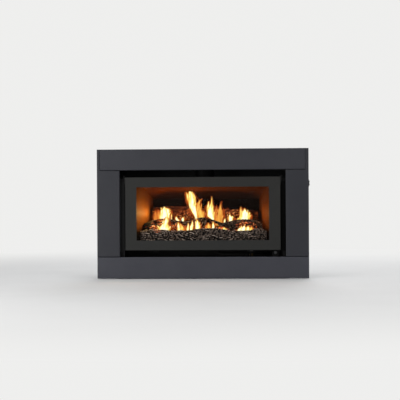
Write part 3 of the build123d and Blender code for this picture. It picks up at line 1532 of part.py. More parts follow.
with BuildPart() as fascia_bottom:
    with BuildSketch(Plane.XZ.offset(-front_y), mode=Mode.PRIVATE) as bottom_outline:
        with Locations((0, (fascia_lift + bottom_joint_z) / 2)):
            Rectangle(fascia_width, bottom_panel_height)
    folded_tray(bottom_outline)
    trim_y = (front_y - panel_gap, front_y + 1)
    block((-fascia_half - 1, fascia_half + 1), trim_y, (0, bottom_joint_z + 1), Mode.SUBTRACT)
fascia_bottom.part.label = "fascia_bottom"
export_step(fascia_bottom.part, "parts/fascia_bottom.step")

with BuildPart() as panel_studs:
    stud_base = fascia_front + fascia_sheet
    with BuildSketch(Plane.XZ.offset(-stud_base)) as panel_stud_faces:
        with Locations(*[(side * panel_stud_x, z) for z in panel_stud_z for side in (-1, 1)]):
            Circle(stud_radius)
    extrude(panel_stud_faces.sketch, amount=-panel_stud_length)
    fillet(panel_studs.faces().sort_by(Axis.Y)[-4:].edges(), stud_edge_radius)
panel_studs.part.label = "panel_studs"
export_step(panel_studs.part, "parts/panel_studs.step")

with BuildPart() as fascia_brackets:
    hanger_fold = [
        (fascia_front + fascia_sheet, casing_height + 2 * bracket_sheet),
        (front_y, casing_height + 2 * bracket_sheet),
        (front_y, casing_height - casing_lip),
    ]
    for hanger_x in (-bracket_x, bracket_x):
        hanger_plane = Plane.YZ.offset(hanger_x)
        folded_sheet(hanger_fold, bracket_sheet, bracket_bend, hanger_plane, bracket_width, Side.RIGHT)
    foot_z0 = bottom_joint_z + panel_joint + bracket_foot_lift
    foot_z1 = foot_z0 + bracket_foot_height
    for side in (-1, 1):
        foot_fold = [
            (side * (opening_half - bracket_foot_width), front_y),
            (side * opening_half, front_y),
            (side * opening_half, front_y - bracket_foot_reach),
        ]
        fold_side = Side.LEFT if side < 0 else Side.RIGHT
        foot_plane = Plane.XY.offset((foot_z0 + foot_z1) / 2)
        folded_sheet(foot_fold, bracket_sheet, bracket_bend, foot_plane, foot_z1 - foot_z0, fold_side)
fascia_brackets.part.label = "fascia_brackets"
export_step(fascia_brackets.part, "parts/fascia_brackets.step")
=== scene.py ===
# %% [markdown]
# # A gas fireplace insert, dressed for the studio
# The object is a steel casing with a log fire behind a window, closed at the front by a flat
# charcoal fascia. Its rigid parts come from the CAD model, which fixes every size and place.
# Blender adds what CAD leaves plain: coatings, bark, embers and flames.

# %% Load the CAD model
import bmesh
import bpy
import random
from math import atan2, cos, pi, radians, sin
from mathutils import Matrix, Vector, noise


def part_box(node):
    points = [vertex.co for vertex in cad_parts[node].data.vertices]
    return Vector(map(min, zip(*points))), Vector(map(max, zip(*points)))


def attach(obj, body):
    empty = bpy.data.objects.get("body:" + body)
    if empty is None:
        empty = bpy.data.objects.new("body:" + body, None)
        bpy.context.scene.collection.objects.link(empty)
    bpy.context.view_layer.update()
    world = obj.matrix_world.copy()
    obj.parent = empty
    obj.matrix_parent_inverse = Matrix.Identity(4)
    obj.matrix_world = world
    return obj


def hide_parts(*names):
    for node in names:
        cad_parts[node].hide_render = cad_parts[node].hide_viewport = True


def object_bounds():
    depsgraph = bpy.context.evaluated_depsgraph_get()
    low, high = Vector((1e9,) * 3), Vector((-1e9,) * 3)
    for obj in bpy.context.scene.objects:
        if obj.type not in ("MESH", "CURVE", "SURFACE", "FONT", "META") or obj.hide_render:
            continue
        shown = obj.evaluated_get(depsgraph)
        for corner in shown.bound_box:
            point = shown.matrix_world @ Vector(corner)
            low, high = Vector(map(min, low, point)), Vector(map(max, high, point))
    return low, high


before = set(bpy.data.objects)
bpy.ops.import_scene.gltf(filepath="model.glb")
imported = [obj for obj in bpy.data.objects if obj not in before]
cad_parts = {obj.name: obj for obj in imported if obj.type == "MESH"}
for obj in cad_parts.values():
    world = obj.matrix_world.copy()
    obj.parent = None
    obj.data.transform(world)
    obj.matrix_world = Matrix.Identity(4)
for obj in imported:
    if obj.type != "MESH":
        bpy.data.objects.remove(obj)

cad_low, cad_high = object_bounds()

# %% [markdown]
# The photograph was taken from six metres away, a little to the right of the middle and at
# about the height of the flames, so hardly any side face shows. A long lens gives the same
# flat view. Two metres of the fascia's plane fill the picture's width. The camera aims at the
# middle of the picture, and is rolled by a third of a degree as the photograph is.

# %% Place the camera
fascia_y = cad_low.y
camera_x, camera_z = 0.35, 0.42
camera_distance = 6.0
seen_width = 1.99
aim = Vector((-0.0116, fascia_y, 0.3921))
roll = radians(-0.345)

camera = bpy.data.objects.new("camera", bpy.data.cameras.new("camera"))
bpy.context.scene.collection.objects.link(camera)
camera.location = (camera_x, fascia_y - camera_distance, camera_z)
way = aim - camera.location
camera.data.sensor_width = 36.0
camera.data.lens = camera.data.sensor_width * way.length / seen_width
turn = way.to_track_quat("-Z", "Y").to_matrix() @ Matrix.Rotation(roll, 3, "Z")
camera.rotation_euler = turn.to_euler()
bpy.context.scene.camera = camera
print("lens:", round(camera.data.lens, 1), "mm")

# %% [markdown]
# A studio for a dark coated object needs broad, soft lamps: a large one from the front left,
# a weaker one from the right, a wide one above that draws a thin light line along each
# folded edge, and one behind for the views from there.

# %% Light the studio
bpy.context.scene.view_settings.view_transform = "Standard"


def add_lamp(name, kind, place, power, colour):
    """A lamp in its place; returns the object that holds it."""
    lamp = bpy.data.lights.new(name, kind)
    lamp.energy = power
    lamp.color = colour
    holder = bpy.data.objects.new(name, lamp)
    bpy.context.scene.collection.objects.link(holder)
    holder.location = place
    return holder


def soft_lamp(name, place, target, size, power, colour=(1.0, 1.0, 1.0), height=None):
    """A flat lamp that faces its target, square unless it is given a height."""
    holder = add_lamp(name, "AREA", place, power, colour)
    holder.data.size = size
    if height:
        holder.data.shape = "RECTANGLE"
        holder.data.size_y = height
    holder.rotation_euler = (Vector(target) - Vector(place)).to_track_quat("-Z", "Y").to_euler()


soft_lamp("key_lamp", (-1.9, -2.4, 0.5), (0, 0, 0.2), 1.6, 31)
soft_lamp("fill_lamp", (2.6, -3.2, 1.0), (0, 0, 0.3), 2.4, 17)
soft_lamp("top_lamp", (0.0, -0.6, 2.6), (0, -0.2, 0.3), 3.0, 30)
soft_lamp("back_lamp", (0.6, 3.4, 2.2), (0, 0.2, 0.3), 2.4, 60)

# %% [markdown]
# Materials and the world are trees of nodes. A node's inputs are sockets: a number or a
# colour is set on the socket itself, and another node's output is linked to it. A few small
# helpers do either, so that each finish below reads as a short recipe.

# %% Helpers that wire nodes
def put(tree, source, socket):
    """Sets a number or a colour on a socket, or links another node's output to it."""
    if isinstance(source, bpy.types.NodeSocket):
        tree.links.new(source, socket)
    else:
        socket.default_value = source


def add_node(tree, kind, *sources, **settings):
    """A new node whose first inputs are fed from the sources, in their order."""
    node = tree.nodes.new("ShaderNode" + kind)
    for setting, value in settings.items():
        setattr(node, setting, value)
    for source, socket in zip(sources, node.inputs):
        put(tree, source, socket)
    return node


def calculate(tree, operation, *sources):
    """One step of arithmetic on numbers and other nodes' outputs."""
    return add_node(tree, "Math", *sources, operation=operation).outputs[0]


def blend_surface(tree, share, first, second, output="Material Output"):
    """Goes from one shader to another by a share, and makes the blend the surface."""
    blend = add_node(tree, "MixShader", share, first.outputs[0], second.outputs[0])
    tree.links.new(blend.outputs[0], tree.nodes[output].inputs["Surface"])


print("node helpers ready")

# %% [markdown]
# The world gives an even fill. To the camera, to polished metal and through glass it looks
# pale instead: Light Path tells these rays from the ones that light the object.

# %% The world
pale_backdrop = (0.86, 0.86, 0.85, 1.0)
world = bpy.data.worlds.new("studio_world")
bpy.context.scene.world = world
world.use_nodes = True
sky = world.node_tree
sky_light = sky.nodes["Background"]
sky_light.inputs["Color"].default_value = (0.95, 0.97, 1.0, 1.0)
sky_light.inputs["Strength"].default_value = 0.335
ray = add_node(sky, "LightPath").outputs
seen = calculate(sky, "MAXIMUM", ray["Is Camera Ray"], ray["Is Glossy Ray"])
seen = calculate(sky, "MAXIMUM", seen, ray["Is Transmission Ray"])
blend_surface(sky, seen, sky_light, add_node(sky, "Background", pale_backdrop), "World Output")
print("world fill:", round(sky_light.inputs["Strength"].default_value, 3))

# %% [markdown]
# Most finishes here are a coating or a rolled sheet: one colour that varies a little from place
# to place, a sheen that varies with it, and a fine grain that only shows in the highlights.
# One helper builds that from two noise patterns in object coordinates. Single values go
# straight into the shader's own sockets.

# %% Helpers for finishes
def new_material(name):
    """An empty material, its node tree and its shader."""
    material = bpy.data.materials.new(name)
    material.use_nodes = True
    tree = material.node_tree
    return material, tree, tree.nodes["Principled BSDF"]


def pattern(tree, kind, scale, stretch=(1, 1, 1), **settings):
    """A procedural texture in object coordinates; returns the texture node."""
    mapping = add_node(tree, "Mapping", add_node(tree, "TexCoord").outputs["Object"])
    mapping.inputs["Scale"].default_value = stretch
    texture = add_node(tree, "Tex" + kind, mapping.outputs["Vector"])
    texture.inputs["Scale"].default_value = scale
    for socket, value in settings.items():
        texture.inputs[socket].default_value = value
    return texture


def noise_pattern(tree, scale, stretch=(1, 1, 1), **settings):
    """A soft cloudy pattern between 0 and 1."""
    return pattern(tree, "Noise", scale, stretch, **settings).outputs["Fac"]


def along_axis(tree, axis):
    """How far along X, Y or Z a point lies."""
    return add_node(tree, "SeparateXYZ", add_node(tree, "TexCoord").outputs["Object"]).outputs[axis]


def left_on_mesh(tree, name):
    """A value that the modelling left on the mesh's points."""
    return add_node(tree, "Attribute", attribute_name=name).outputs["Fac"]


def ramp(tree, source, *stops):
    """A colour ramp driven by a value; stops are (position, colour)."""
    node = add_node(tree, "ValToRGB", source)
    elements = node.color_ramp.elements
    while len(elements) < len(stops):
        elements.new(0.5)
    for element, (position, colour) in zip(elements, stops):
        element.position = position
        element.color = (*colour, 1.0)
    return node.outputs["Color"]


def grade(tree, source, low, high, start=0.0, end=1.0, smooth=False):
    """Turns a value from start to end into one from low to high."""
    kind = "SMOOTHSTEP" if smooth else "LINEAR"
    return add_node(tree, "MapRange", source, start, end, low, high, interpolation_type=kind).outputs["Result"]


def blend_colours(tree, share, first, second):
    """Goes from a plain colour to another node's colour by a share."""
    blend = add_node(tree, "Mix", data_type="RGBA")
    for source, socket in ((share, "Factor"), ((*first, 1.0), "A"), (second, "B")):
        put(tree, source, blend.inputs[socket])
    return blend.outputs["Result"]


def dress(tree, shader, colour, rough, height, strength, distance):
    """Gives a shader its colour and roughness, and bumps its surface."""
    bump = add_node(tree, "Bump")
    for source, socket in ((height, "Height"), (strength, "Strength"), (distance, "Distance")):
        put(tree, source, bump.inputs[socket])
    for source, socket in ((colour, "Base Color"), (rough, "Roughness"), (bump.outputs["Normal"], "Normal")):
        put(tree, source, shader.inputs[socket])


def sheet_finish(name, dark, light, rough, grain, stretch=(1, 1, 1), metal=0.0, bump=0.15, patch=9.0,
                 specular=0.5):
    """A coating or a rolled sheet: blotches between two colours, and a fine grain."""
    material, tree, shader = new_material(name)
    blotch = noise_pattern(tree, patch, Detail=3.0)
    fine = noise_pattern(tree, grain, stretch, Detail=2.0, Roughness=0.6)
    colour = ramp(tree, blotch, (0.3, dark), (0.7, light))
    dress(tree, shader, colour, grade(tree, blotch, *rough), fine, bump, 0.0004)
    shader.inputs["Metallic"].default_value = metal
    shader.inputs["Specular IOR Level"].default_value = specular
    return material


def coat(material, *node_names):
    """Gives CAD nodes their material."""
    for name in node_names:
        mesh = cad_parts[name].data
        mesh.materials.clear()
        mesh.materials.append(material)


print("finish helpers ready")

# %% [markdown]
# The fascia is folded sheet with a satin charcoal powder coat: slightly blue, even, with the
# fine orange-peel grain of powder. The top panel reads a little lighter than the stiles and
# the lower panel lighter still, from how the light falls on them, so each has a lighter copy
# of that coat: painted light. The window's frame has a flatter, browner stove paint. All are
# dark, so what the eye reads is mostly the soft sheen.

# %% Coat the fascia and the window frame
# The top and lower panels get lighter copies of the coat, painted light for how the light falls on them.
charcoal_coats = [
    ("satin_charcoal_powder_coat", (0.0265, 0.0272, 0.0335), (0.0305, 0.0312, 0.0375), 0.25,
     ["fascia_left", "fascia_right"]),
    ("satin_charcoal_powder_coat_panels", (0.0330, 0.0339, 0.0416), (0.0378, 0.0387, 0.0464), 0.26,
     ["fascia_top"]),
    ("satin_charcoal_powder_coat_lower_panel", (0.0450, 0.0460, 0.0575), (0.0510, 0.0520, 0.0635), 0.28,
     ["fascia_bottom"]),
]
for name, dark, light, specular, nodes in charcoal_coats:
    coat(sheet_finish(name, dark, light, (0.40, 0.48), 900, bump=0.10, specular=specular), *nodes)
coat(sheet_finish("matt_charcoal_stove_paint", (0.0163, 0.0164, 0.0153), (0.0193, 0.0193, 0.0178),
                  (0.55, 0.65), 1300, bump=0.12, specular=0.25), "window_frame")
print("charcoal coats:", len(charcoal_coats))

# %% [markdown]
# The casing is zinc-coated sheet, whose crystals, the spangle, show as pale and dark flakes a
# centimetre across: Voronoi cells give each flake its own grey. What shows through the air
# slots and beside the window is black, painted shade that reads as the shadow in there. A
# casing sheet has both, zinc on its outer face and painted shade inside, and one material
# tells them apart by how far a point lies from the middle of the casing. The shade's tone is
# set sheet by sheet, to how dark each place reads in the slots and beside the window.

# %% Black paint, painted shade and zinc-coated sheet
zinc_top, zinc_back, zinc_side = 0.5795, 0.1895, 0.4289  # just inside the casing's outer faces


def zinc_finish(name, bare_axis=None, bare_from=0.0, painted_shade=0.0035, specular=0.10):
    """Zinc spangle, with black painted shade where a point is less than bare_from off the middle along
    bare_axis.
    """
    material, tree, shader = new_material(name)
    flakes = pattern(tree, "Voronoi", 85).outputs["Color"]
    colour = ramp(tree, flakes, (0.2, (0.26, 0.266, 0.272)), (0.8, (0.40, 0.407, 0.417)))
    metal = 0.9
    if bare_axis:
        off_middle = calculate(tree, "ABSOLUTE", along_axis(tree, bare_axis))
        metal = calculate(tree, "GREATER_THAN", off_middle, bare_from)
        colour = blend_colours(tree, metal, (painted_shade, painted_shade, painted_shade), colour)
    rolled = noise_pattern(tree, 700, Detail=2.0)
    dress(tree, shader, colour, grade(tree, flakes, 0.46, 0.60), rolled, 0.12, 0.0003)
    put(tree, metal, shader.inputs["Metallic"])
    shader.inputs["Specular IOR Level"].default_value = specular
    return material


black_heat_paint_and_shade = sheet_finish("matt_black_heat_paint_and_painted_shade", (0.0030, 0.0030, 0.0032), (0.0052, 0.0050, 0.0050),
                           (0.6, 0.75), 1100, specular=0.10)
coat(zinc_finish("zinc_coated_sheet"), "casing_base", "flue_outer")
# The black inside each casing sheet is painted shade, as dark as the slots and the strips beside the window
# read.
coat(zinc_finish("zinc_top_sheet_with_painted_shade", "Z", zinc_top, 0.022), "casing_top")
coat(zinc_finish("zinc_back_sheet_with_painted_shade", "Y", zinc_back, 0.045), "casing_back")
coat(zinc_finish("zinc_left_sheet_with_painted_shade", "X", zinc_side, 0.0062), "casing_left")
coat(zinc_finish("zinc_right_sheet_with_painted_shade", "X", zinc_side, 0.0010, 0.04), "casing_right")
coat(zinc_finish("flue_spigot_sheet_with_painted_shade", "Z", zinc_top), "flue_inner")
# The black heat paint also serves as painted shade on the plate, brackets and housing that show through the
# slots and joints.
coat(black_heat_paint_and_shade, "control_plate", "firebox_front", "firebox_left", "firebox_right", "firebox_back",
     "firebox_floor", "firebox_roof", "burner_tray", "log_grate", "fascia_brackets", "hinge_brackets",
     "fan_housing")
print("casing finished")

# %% [markdown]
# The liners are enamelled panels the colour of clay, a warm tint that also stands in for part
# of the fire's light: painted firelight. They are darker towards the back and under the sloped
# baffle, in an arch. A Mapping node scales the space round the arch, distances in fourth
# powers make it a rounded box instead of a ball, and noise makes its edge wander.

# %% Liner panels with painted firelight, darker in places
upright_streaks = (2.2, 2.2, 0.12)


def liner_finish(name, warm_tone, darkened_tone, dark_arch_centre, dark_arch_size, darker_below=None):
    """An enamelled panel, darker in a broad arch that is soft at its edge, and darker along its foot."""
    material, tree, shader = new_material(name)
    mapping = add_node(tree, "Mapping", add_node(tree, "TexCoord").outputs["Object"], dark_arch_centre,
                       vector_type="TEXTURE")
    mapping.inputs["Scale"].default_value = dark_arch_size
    place = mapping.outputs["Vector"]
    squares = add_node(tree, "VectorMath", place, place, operation="MULTIPLY").outputs["Vector"]
    fourths = add_node(tree, "VectorMath", squares, squares, operation="DOT_PRODUCT").outputs["Value"]
    distance = calculate(tree, "POWER", fourths, 0.25)
    wandering = calculate(tree, "MULTIPLY_ADD", noise_pattern(tree, 14, Detail=4.0), 0.35, distance)
    warm_share = grade(tree, wandering, 0.0, 1.0, 1.0, 1.35, smooth=True)
    if darker_below is not None:
        above_foot = grade(tree, along_axis(tree, "Z"), 0.0, 1.0, darker_below - 0.012, darker_below + 0.018,
                           smooth=True)
        warm_share = calculate(tree, "MULTIPLY", warm_share, above_foot)
    brushed = noise_pattern(tree, 30, upright_streaks, Detail=3.0)
    bright = tuple(min(1.0, c * 1.45) for c in warm_tone)
    panel = ramp(tree, brushed, (0.3, warm_tone), (0.7, bright))
    dress(tree, shader, blend_colours(tree, warm_share, darkened_tone, panel), grade(tree, brushed, 0.5, 0.7),
          brushed, 0.08, 0.001)
    shader.inputs["Specular IOR Level"].default_value = 0.02
    return material


# The warm clay colours are partly painted firelight; the arch and the foot are only painted darker.
coat(liner_finish("clay_enamel_side_liner_with_painted_firelight", (0.066, 0.0195, 0.0028), (0.0060, 0.0028, 0.0014),
                  (0.0, 0.21, 0.47), (10.0, 0.105, 0.30), darker_below=0.238), "liner_left", "liner_right")
coat(liner_finish("clay_enamel_baffle_with_painted_firelight", (0.064, 0.0160, 0.0016), (0.0125, 0.0040, 0.0012),
                  (0.0, 0.16, 0.37), (0.286, 0.40, 0.069)), "baffle")
coat(liner_finish("dark_back_liner", (0.0070, 0.0024, 0.0008), (0.0045, 0.0018, 0.0008),
                  (0.0, 0.115, 0.36), (0.26, 1.0, 0.10)), "liner_back")
print("liners finished")

# %% [markdown]
# The fire lights its own box. Flames shaped as glowing meshes would light the walls with a
# lot of noise, so small warm lamps stand where the flames stand. On the side liners the
# glow is a low, broad patch, which a narrow flat lamp off each wall gives. The left wall is
# the brighter one in the photograph, so its lamp is the stronger.

# %% Lamps inside the fire
amber, orange, red_orange = (1.0, 0.74, 0.24), (1.0, 0.50, 0.16), (1.0, 0.40, 0.10)
flame_lamp_radius = 0.03
flame_lamps = [
    ("glow_left_back", (-0.205, 0.0, 0.345), 0.50, red_orange),
    ("glow_tall", (-0.06, 0.0, 0.375), 0.50, red_orange),
    ("glow_middle", (0.06, 0.0, 0.345), 0.14, red_orange),
    ("glow_right_back", (0.20, 0.0, 0.33), 0.14, red_orange),
    ("glow_left_front", (-0.20, -0.085, 0.290), 0.22, orange),
    ("glow_trio", (-0.045, -0.085, 0.285), 0.12, orange),
    ("glow_right_front", (0.20, -0.085, 0.275), 0.08, orange),
]
soft_lamp("glow_left_wall", (-0.258, -0.062, 0.325), (-0.314, -0.071, 0.325), 0.19, 0.50, amber, 0.02)
soft_lamp("glow_right_wall", (0.252, -0.035, 0.318), (0.309, -0.042, 0.318), 0.17, 0.13, (1.0, 0.48, 0.15), 0.02)
for name, place, power, colour in flame_lamps:
    add_lamp(name, "POINT", place, power, colour).data.shadow_soft_size = flame_lamp_radius
print("fire lamps:", len(flame_lamps) + 2)

# %% [markdown]
# The logs are cast ceramic, moulded from real wood: long plates of bark with deep dark
# furrows that wander and twist round the log. CAD gives their size and seat. Sculpting by
# hand would be one way; here each log is copied, remeshed to an even skin of small faces,
# and its skin is pushed in along the furrows of a noise pattern that follows the log. The
# skin is only pushed in, except at the middle log's left end, which is drawn out by about
# two centimetres to where the photograph has it.

# %% Helpers that turn a CAD solid into an even skin
def new_piece(name, bm):
    """An object from a finished bmesh."""
    mesh = bpy.data.meshes.new(name)
    bm.to_mesh(mesh)
    bm.free()
    piece = bpy.data.objects.new(name, mesh)
    bpy.context.scene.collection.objects.link(piece)
    return piece


def finished(piece):
    """Applies a piece's modifiers to its mesh."""
    ready = piece.evaluated_get(bpy.context.evaluated_depsgraph_get())
    mesh = bpy.data.meshes.new_from_object(ready)
    piece.modifiers.clear()
    piece.data = mesh
    mesh.name = piece.name
    return piece


def skin_copy(node_name, name, voxel):
    """A merged, remeshed copy of a CAD node."""
    bm = bmesh.new()
    bm.from_mesh(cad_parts[node_name].data)
    bmesh.ops.remove_doubles(bm, verts=bm.verts, dist=1e-6)
    piece = new_piece(name, bm)
    remesh = piece.modifiers.new("even_skin", "REMESH")
    remesh.mode = "VOXEL"
    remesh.voxel_size = voxel
    return finished(piece)


def give(piece, material, slot_name, body="root", *replaced):
    """Material and body of a new piece, and the CAD nodes that it stands for; slot_name is not used."""
    piece.data.materials.clear()
    piece.data.materials.append(material)
    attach(piece, body)
    if replaced:
        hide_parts(*replaced)
    return piece


def smoothstep(low, high, value):
    """0 below low and 1 above high, with a smooth rise between."""
    t = max(0.0, min(1.0, (value - low) / (high - low)))
    return t * t * (3 - 2 * t)


print("piece helpers ready")

# %% [markdown]
# A ridge pattern is a sine wave over a log's unrolled skin. A second, faster wave and some
# noise make plates of uneven width, and the waves lean by an angle that changes along the
# log, because bark twists round knots and forks. Noise also breaks the ridges into short
# plates, a centimetre or two long. Each point keeps two values for the material: how high
# it stands on its ridge, and how much painted flame light or red glow it gets.

# %% Carve the bark
girth = 0.034  # a log's radius, which turns an angle round it into a length
lump_depth = 0.0050
steep = 1.3  # heat fades faster upwards than sideways


def ridge_slope(slants, along):
    """The angle of the ridges at a share of the log's length."""
    slope = slants[-1][1]
    for (a, first), (b, second) in zip(slants, slants[1:]):
        if a <= along <= b:
            slope = first + (second - first) * smoothstep(a, b, along)
    return radians(slope)


def nearness(p, x, z, near, far, stretch=1.0):
    """1 within near of a place as seen from the front, and 0 past far."""
    distance = ((p.x - x) ** 2 + (stretch * (p.z - z)) ** 2) ** 0.5
    return 1 - smoothstep(near, far, distance)


def carve_bark(piece, seed, depth, spacing, slants, glint_places, left_end=(0.0, 0.0), red_places=(),
               darkened_end=0.0):
    """Wandering ridges round a log. slants are (share of the length, angle of the ridges in degrees).
    left_end is how far the log's left end is drawn out in x and y, darkened_end how much darker its left end is
    made."""
    mesh = piece.data
    points = [v.co.copy() for v in mesh.vertices]
    normals = [v.normal.copy() for v in mesh.vertices]
    low, high = min(p.x for p in points), max(p.x for p in points)
    middle_y = sum(p.y for p in points) / len(points)
    middle_z = sum(p.z for p in points) / len(points)
    foot = min(p.z for p in points)
    ridge = mesh.attributes.new("ridge", "FLOAT", "POINT")
    glint_and_glow = mesh.attributes.new("glint_and_glow", "FLOAT", "POINT")
    offset = Vector((seed * 7.3, seed * 3.1, seed * 5.7))
    for i, (p, n) in enumerate(zip(points, normals)):
        along = (p.x - low) / (high - low)
        around = girth * atan2(p.z - middle_z, -(p.y - middle_y))
        slope = ridge_slope(slants, along) + 0.25 * noise.noise(p * 14 + offset)
        across = around * cos(slope) + (p.x - low) * sin(slope) * 0.6
        wander = 2.2 * noise.noise(p * 24 + offset) + 1.1 * noise.noise(p * 70 - offset)
        phase = 2 * pi * across / spacing + wander
        second_wave = sin(1.73 * phase + 3.0 * noise.noise(p * 48 - offset))
        ridges = (0.5 + 0.34 * sin(phase) + 0.16 * second_wave) ** 1.25
        plates = smoothstep(-0.35, 0.20, noise.noise(p * 120 + offset * 2))
        height = ridges * (0.22 + 0.78 * plates)
        lump = 0.5 + 0.5 * noise.noise(p * 20 + offset)
        cut = depth * (1 - height) + lump_depth * lump
        # The underside, where the log rests, stays as CAD has it.
        off_seat = smoothstep(foot + 0.001, foot + 0.012, p.z)
        cut *= max(off_seat, 1 - smoothstep(-0.95, -0.6, n.z))
        drawn = 1 - smoothstep(0.0, 0.16, along)
        mesh.vertices[i].co = p - n * cut + Vector((left_end[0] * drawn, left_end[1] * drawn, 0.0))
        # The ridges at the left end are made darker by darkened_end.
        ridge.data[i].value = height * (1 - darkened_end * (1 - smoothstep(0.0, 0.14, along)))
        # How much of a flame's light the ridges here catch, painted on as glints.
        heat = max((nearness(p, x, z, 0.1 * size, size, steep) for x, z, size in glint_places), default=0.0)
        flecks = smoothstep(0.12, 0.42, noise.noise(p * 175 - offset))
        red = max((0.42 * nearness(p, x, z, 0.004, 0.014) for x, z in red_places), default=0.0)
        glint_and_glow.data[i].value = max(heat * flecks * (0.35 + 0.65 * height), red)
    mesh.shade_smooth()
    print(piece.name, "faces:", len(mesh.polygons))


# %% The four logs
# Hot places, where a flame's light is painted on the ridges as glints, are (x, z, reach) in metres, where a
# flame licks the log, and (x, z) for red ones.
front_glints = [(-0.235, 0.246, 0.03)]
middle_glints = [(-0.250, 0.258, 0.052), (-0.215, 0.285, 0.056), (-0.15, 0.262, 0.04), (-0.05, 0.268, 0.03)]
fork_glints = [(0.195, 0.262, 0.050), (0.245, 0.258, 0.040)]
fork_red = [(0.030, 0.255), (0.045, 0.252), (0.060, 0.248), (0.075, 0.244), (0.090, 0.240)]
rear_glints = [(-0.245, 0.320, 0.05), (-0.11, 0.315, 0.08), (0.02, 0.315, 0.05), (0.14, 0.318, 0.08)]
front_slants = [(0, 4), (0.26, 8), (0.33, 58), (0.43, 58), (0.50, 10), (1, -6)]

front_bark = skin_copy("front_log", "front_log_bark", 0.0017)
middle_bark = skin_copy("middle_log", "middle_log_bark", 0.0017)
forked_bark = skin_copy("forked_log", "forked_log_bark", 0.0017)
rear_bark = skin_copy("rear_log", "rear_log_bark", 0.0022)
carve_bark(front_bark, 1.0, 0.0055, 0.0120, front_slants, front_glints)
carve_bark(middle_bark, 2.3, 0.0050, 0.0110, [(0, 30), (0.5, 55), (1, 20)], middle_glints,
           left_end=(-0.0145, -0.020), darkened_end=0.9)
carve_bark(forked_bark, 3.7, 0.0044, 0.0100, [(0, 10), (0.6, 25), (1, 60)], fork_glints, red_places=fork_red)
carve_bark(rear_bark, 5.2, 0.0050, 0.0120, [(0, 20), (0.5, 50), (1, 10)], rear_glints)

# %% [markdown]
# Ceramic bark is charcoal where soot has settled and brown-grey on the plates. Thin streaks on
# the crests are nearly white, a painted highlight. The height of the ridges was kept as an
# attribute while carving, so the material can put the streaks exactly on the crests and soot
# in the furrows. The second attribute lets flecks on the ridges near a flame give out light,
# a painted glint of the flame's light, and a band of the forked log glow a dull red.

# %% The bark's material
def bark_finish(name, soot, plate_colour, highlight_colour, glint_and_glow_strength):
    """Soot, plates, painted highlights on the crests, and flecks of painted flame light."""
    material, tree, shader = new_material(name)
    blotch = noise_pattern(tree, 55, (0.35, 1, 1), Detail=4.0)
    fibre = noise_pattern(tree, 300, (0.34, 1, 1), Detail=3.0, Roughness=0.65)
    tone = calculate(tree, "MULTIPLY", grade(tree, blotch, 0.45, 1.75), left_on_mesh(tree, "ridge"))
    level = grade(tree, calculate(tree, "MULTIPLY_ADD", fibre, 0.50, tone), 0.0, 1.0, 0.0, 1.57)
    crest_colour = tuple(1.5 * c for c in plate_colour)
    # The last stop, on the crests, is a painted highlight.
    colour = ramp(tree, level, (0.29, soot), (0.49, plate_colour), (0.63, crest_colour), (0.79, highlight_colour))
    dress(tree, shader, colour, grade(tree, blotch, 0.75, 0.95), fibre, 0.5, 0.0015)
    shader.inputs["Specular IOR Level"].default_value = 0.08
    # Flecks near a flame give out light as a painted glint; the forked log's red band glows too.
    ember = ramp(tree, left_on_mesh(tree, "glint_and_glow"), (0.06, (0.0, 0.0, 0.0)), (0.20, (0.42, 0.045, 0.008)),
                 (0.38, (0.92, 0.26, 0.05)), (0.68, (1.0, 0.66, 0.26)))
    tree.links.new(ember, shader.inputs["Emission Color"])
    shader.inputs["Emission Strength"].default_value = glint_and_glow_strength
    return material


charred_bark = bark_finish("charred_front_bark", (0.0036, 0.0027, 0.0023), (0.158, 0.115, 0.089),
                           (0.74, 0.60, 0.50), 0.7)
lit_bark = bark_finish("ash_grey_bark", (0.0040, 0.0028, 0.0022), (0.076, 0.054, 0.040),
                       (0.40, 0.30, 0.22), 1.4)
# The rear log's red tint stands in for the fire's light on it: painted firelight.
fire_lit_rear_bark = bark_finish("rear_bark_painted_firelight", (0.0070, 0.0020, 0.0010), (0.097, 0.030, 0.011),
                       (0.42, 0.170, 0.070), 0.9)
give(front_bark, charred_bark, "ceramic_log", "root", "front_log")
give(middle_bark, lit_bark, "ceramic_log", "root", "middle_log")
give(forked_bark, lit_bark, "ceramic_log", "root", "forked_log")
give(rear_bark, fire_lit_rear_bark, "ceramic_log", "root", "rear_log")
print("logs dressed")

# %% [markdown]
# On a real burner the gas comes up through loose chips of mineral wool and crushed ceramic,
# and they glow. They could be scattered as instances; since there are only some hundreds,
# each one is a small faceted ball, squashed and pushed about by noise, in one mesh. The CAD
# ember bed stays for collision, and the chips fill its space.

# %% Scatter the ember chips
chip_chance = random.Random(11)
bed_low, bed_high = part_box("ember_bed")
chips = bmesh.new()
heat_layer = chips.verts.layers.float.new("heat")
chip_rows, chip_columns = 9, 42
chip_size = 0.0062
chip_scatter = 0.003
for row in range(chip_rows):
    for column in range(chip_columns):
        x = bed_low.x + chip_size + (bed_high.x - bed_low.x - 2 * chip_size) * (column + 0.5) / chip_columns
        y = bed_low.y + chip_size + (bed_high.y - bed_low.y - 2 * chip_size) * (row + 0.5) / chip_rows
        x += chip_chance.uniform(-chip_scatter, chip_scatter)
        y += chip_chance.uniform(-chip_scatter, chip_scatter)
        size = chip_size * chip_chance.uniform(0.75, 1.1)
        place = Vector((x, y, bed_high.z - 0.0075 + chip_chance.uniform(-0.0015, 0.0015)))
        made = bmesh.ops.create_icosphere(chips, subdivisions=1, radius=size)
        warmth = 0.5 + 0.5 * noise.noise(place * 40) + chip_chance.uniform(-0.2, 0.2)
        for v in made["verts"]:
            v.co = v.co * (1 + 0.35 * noise.noise(v.co * 160 + place * 90))
            v.co.z *= 0.8
            v.co += place
            v.co.z = min(v.co.z, bed_high.z)
            v[heat_layer] = warmth
bmesh.ops.recalc_face_normals(chips, faces=chips.faces)
ember_chips = new_piece("ember_chips", chips)

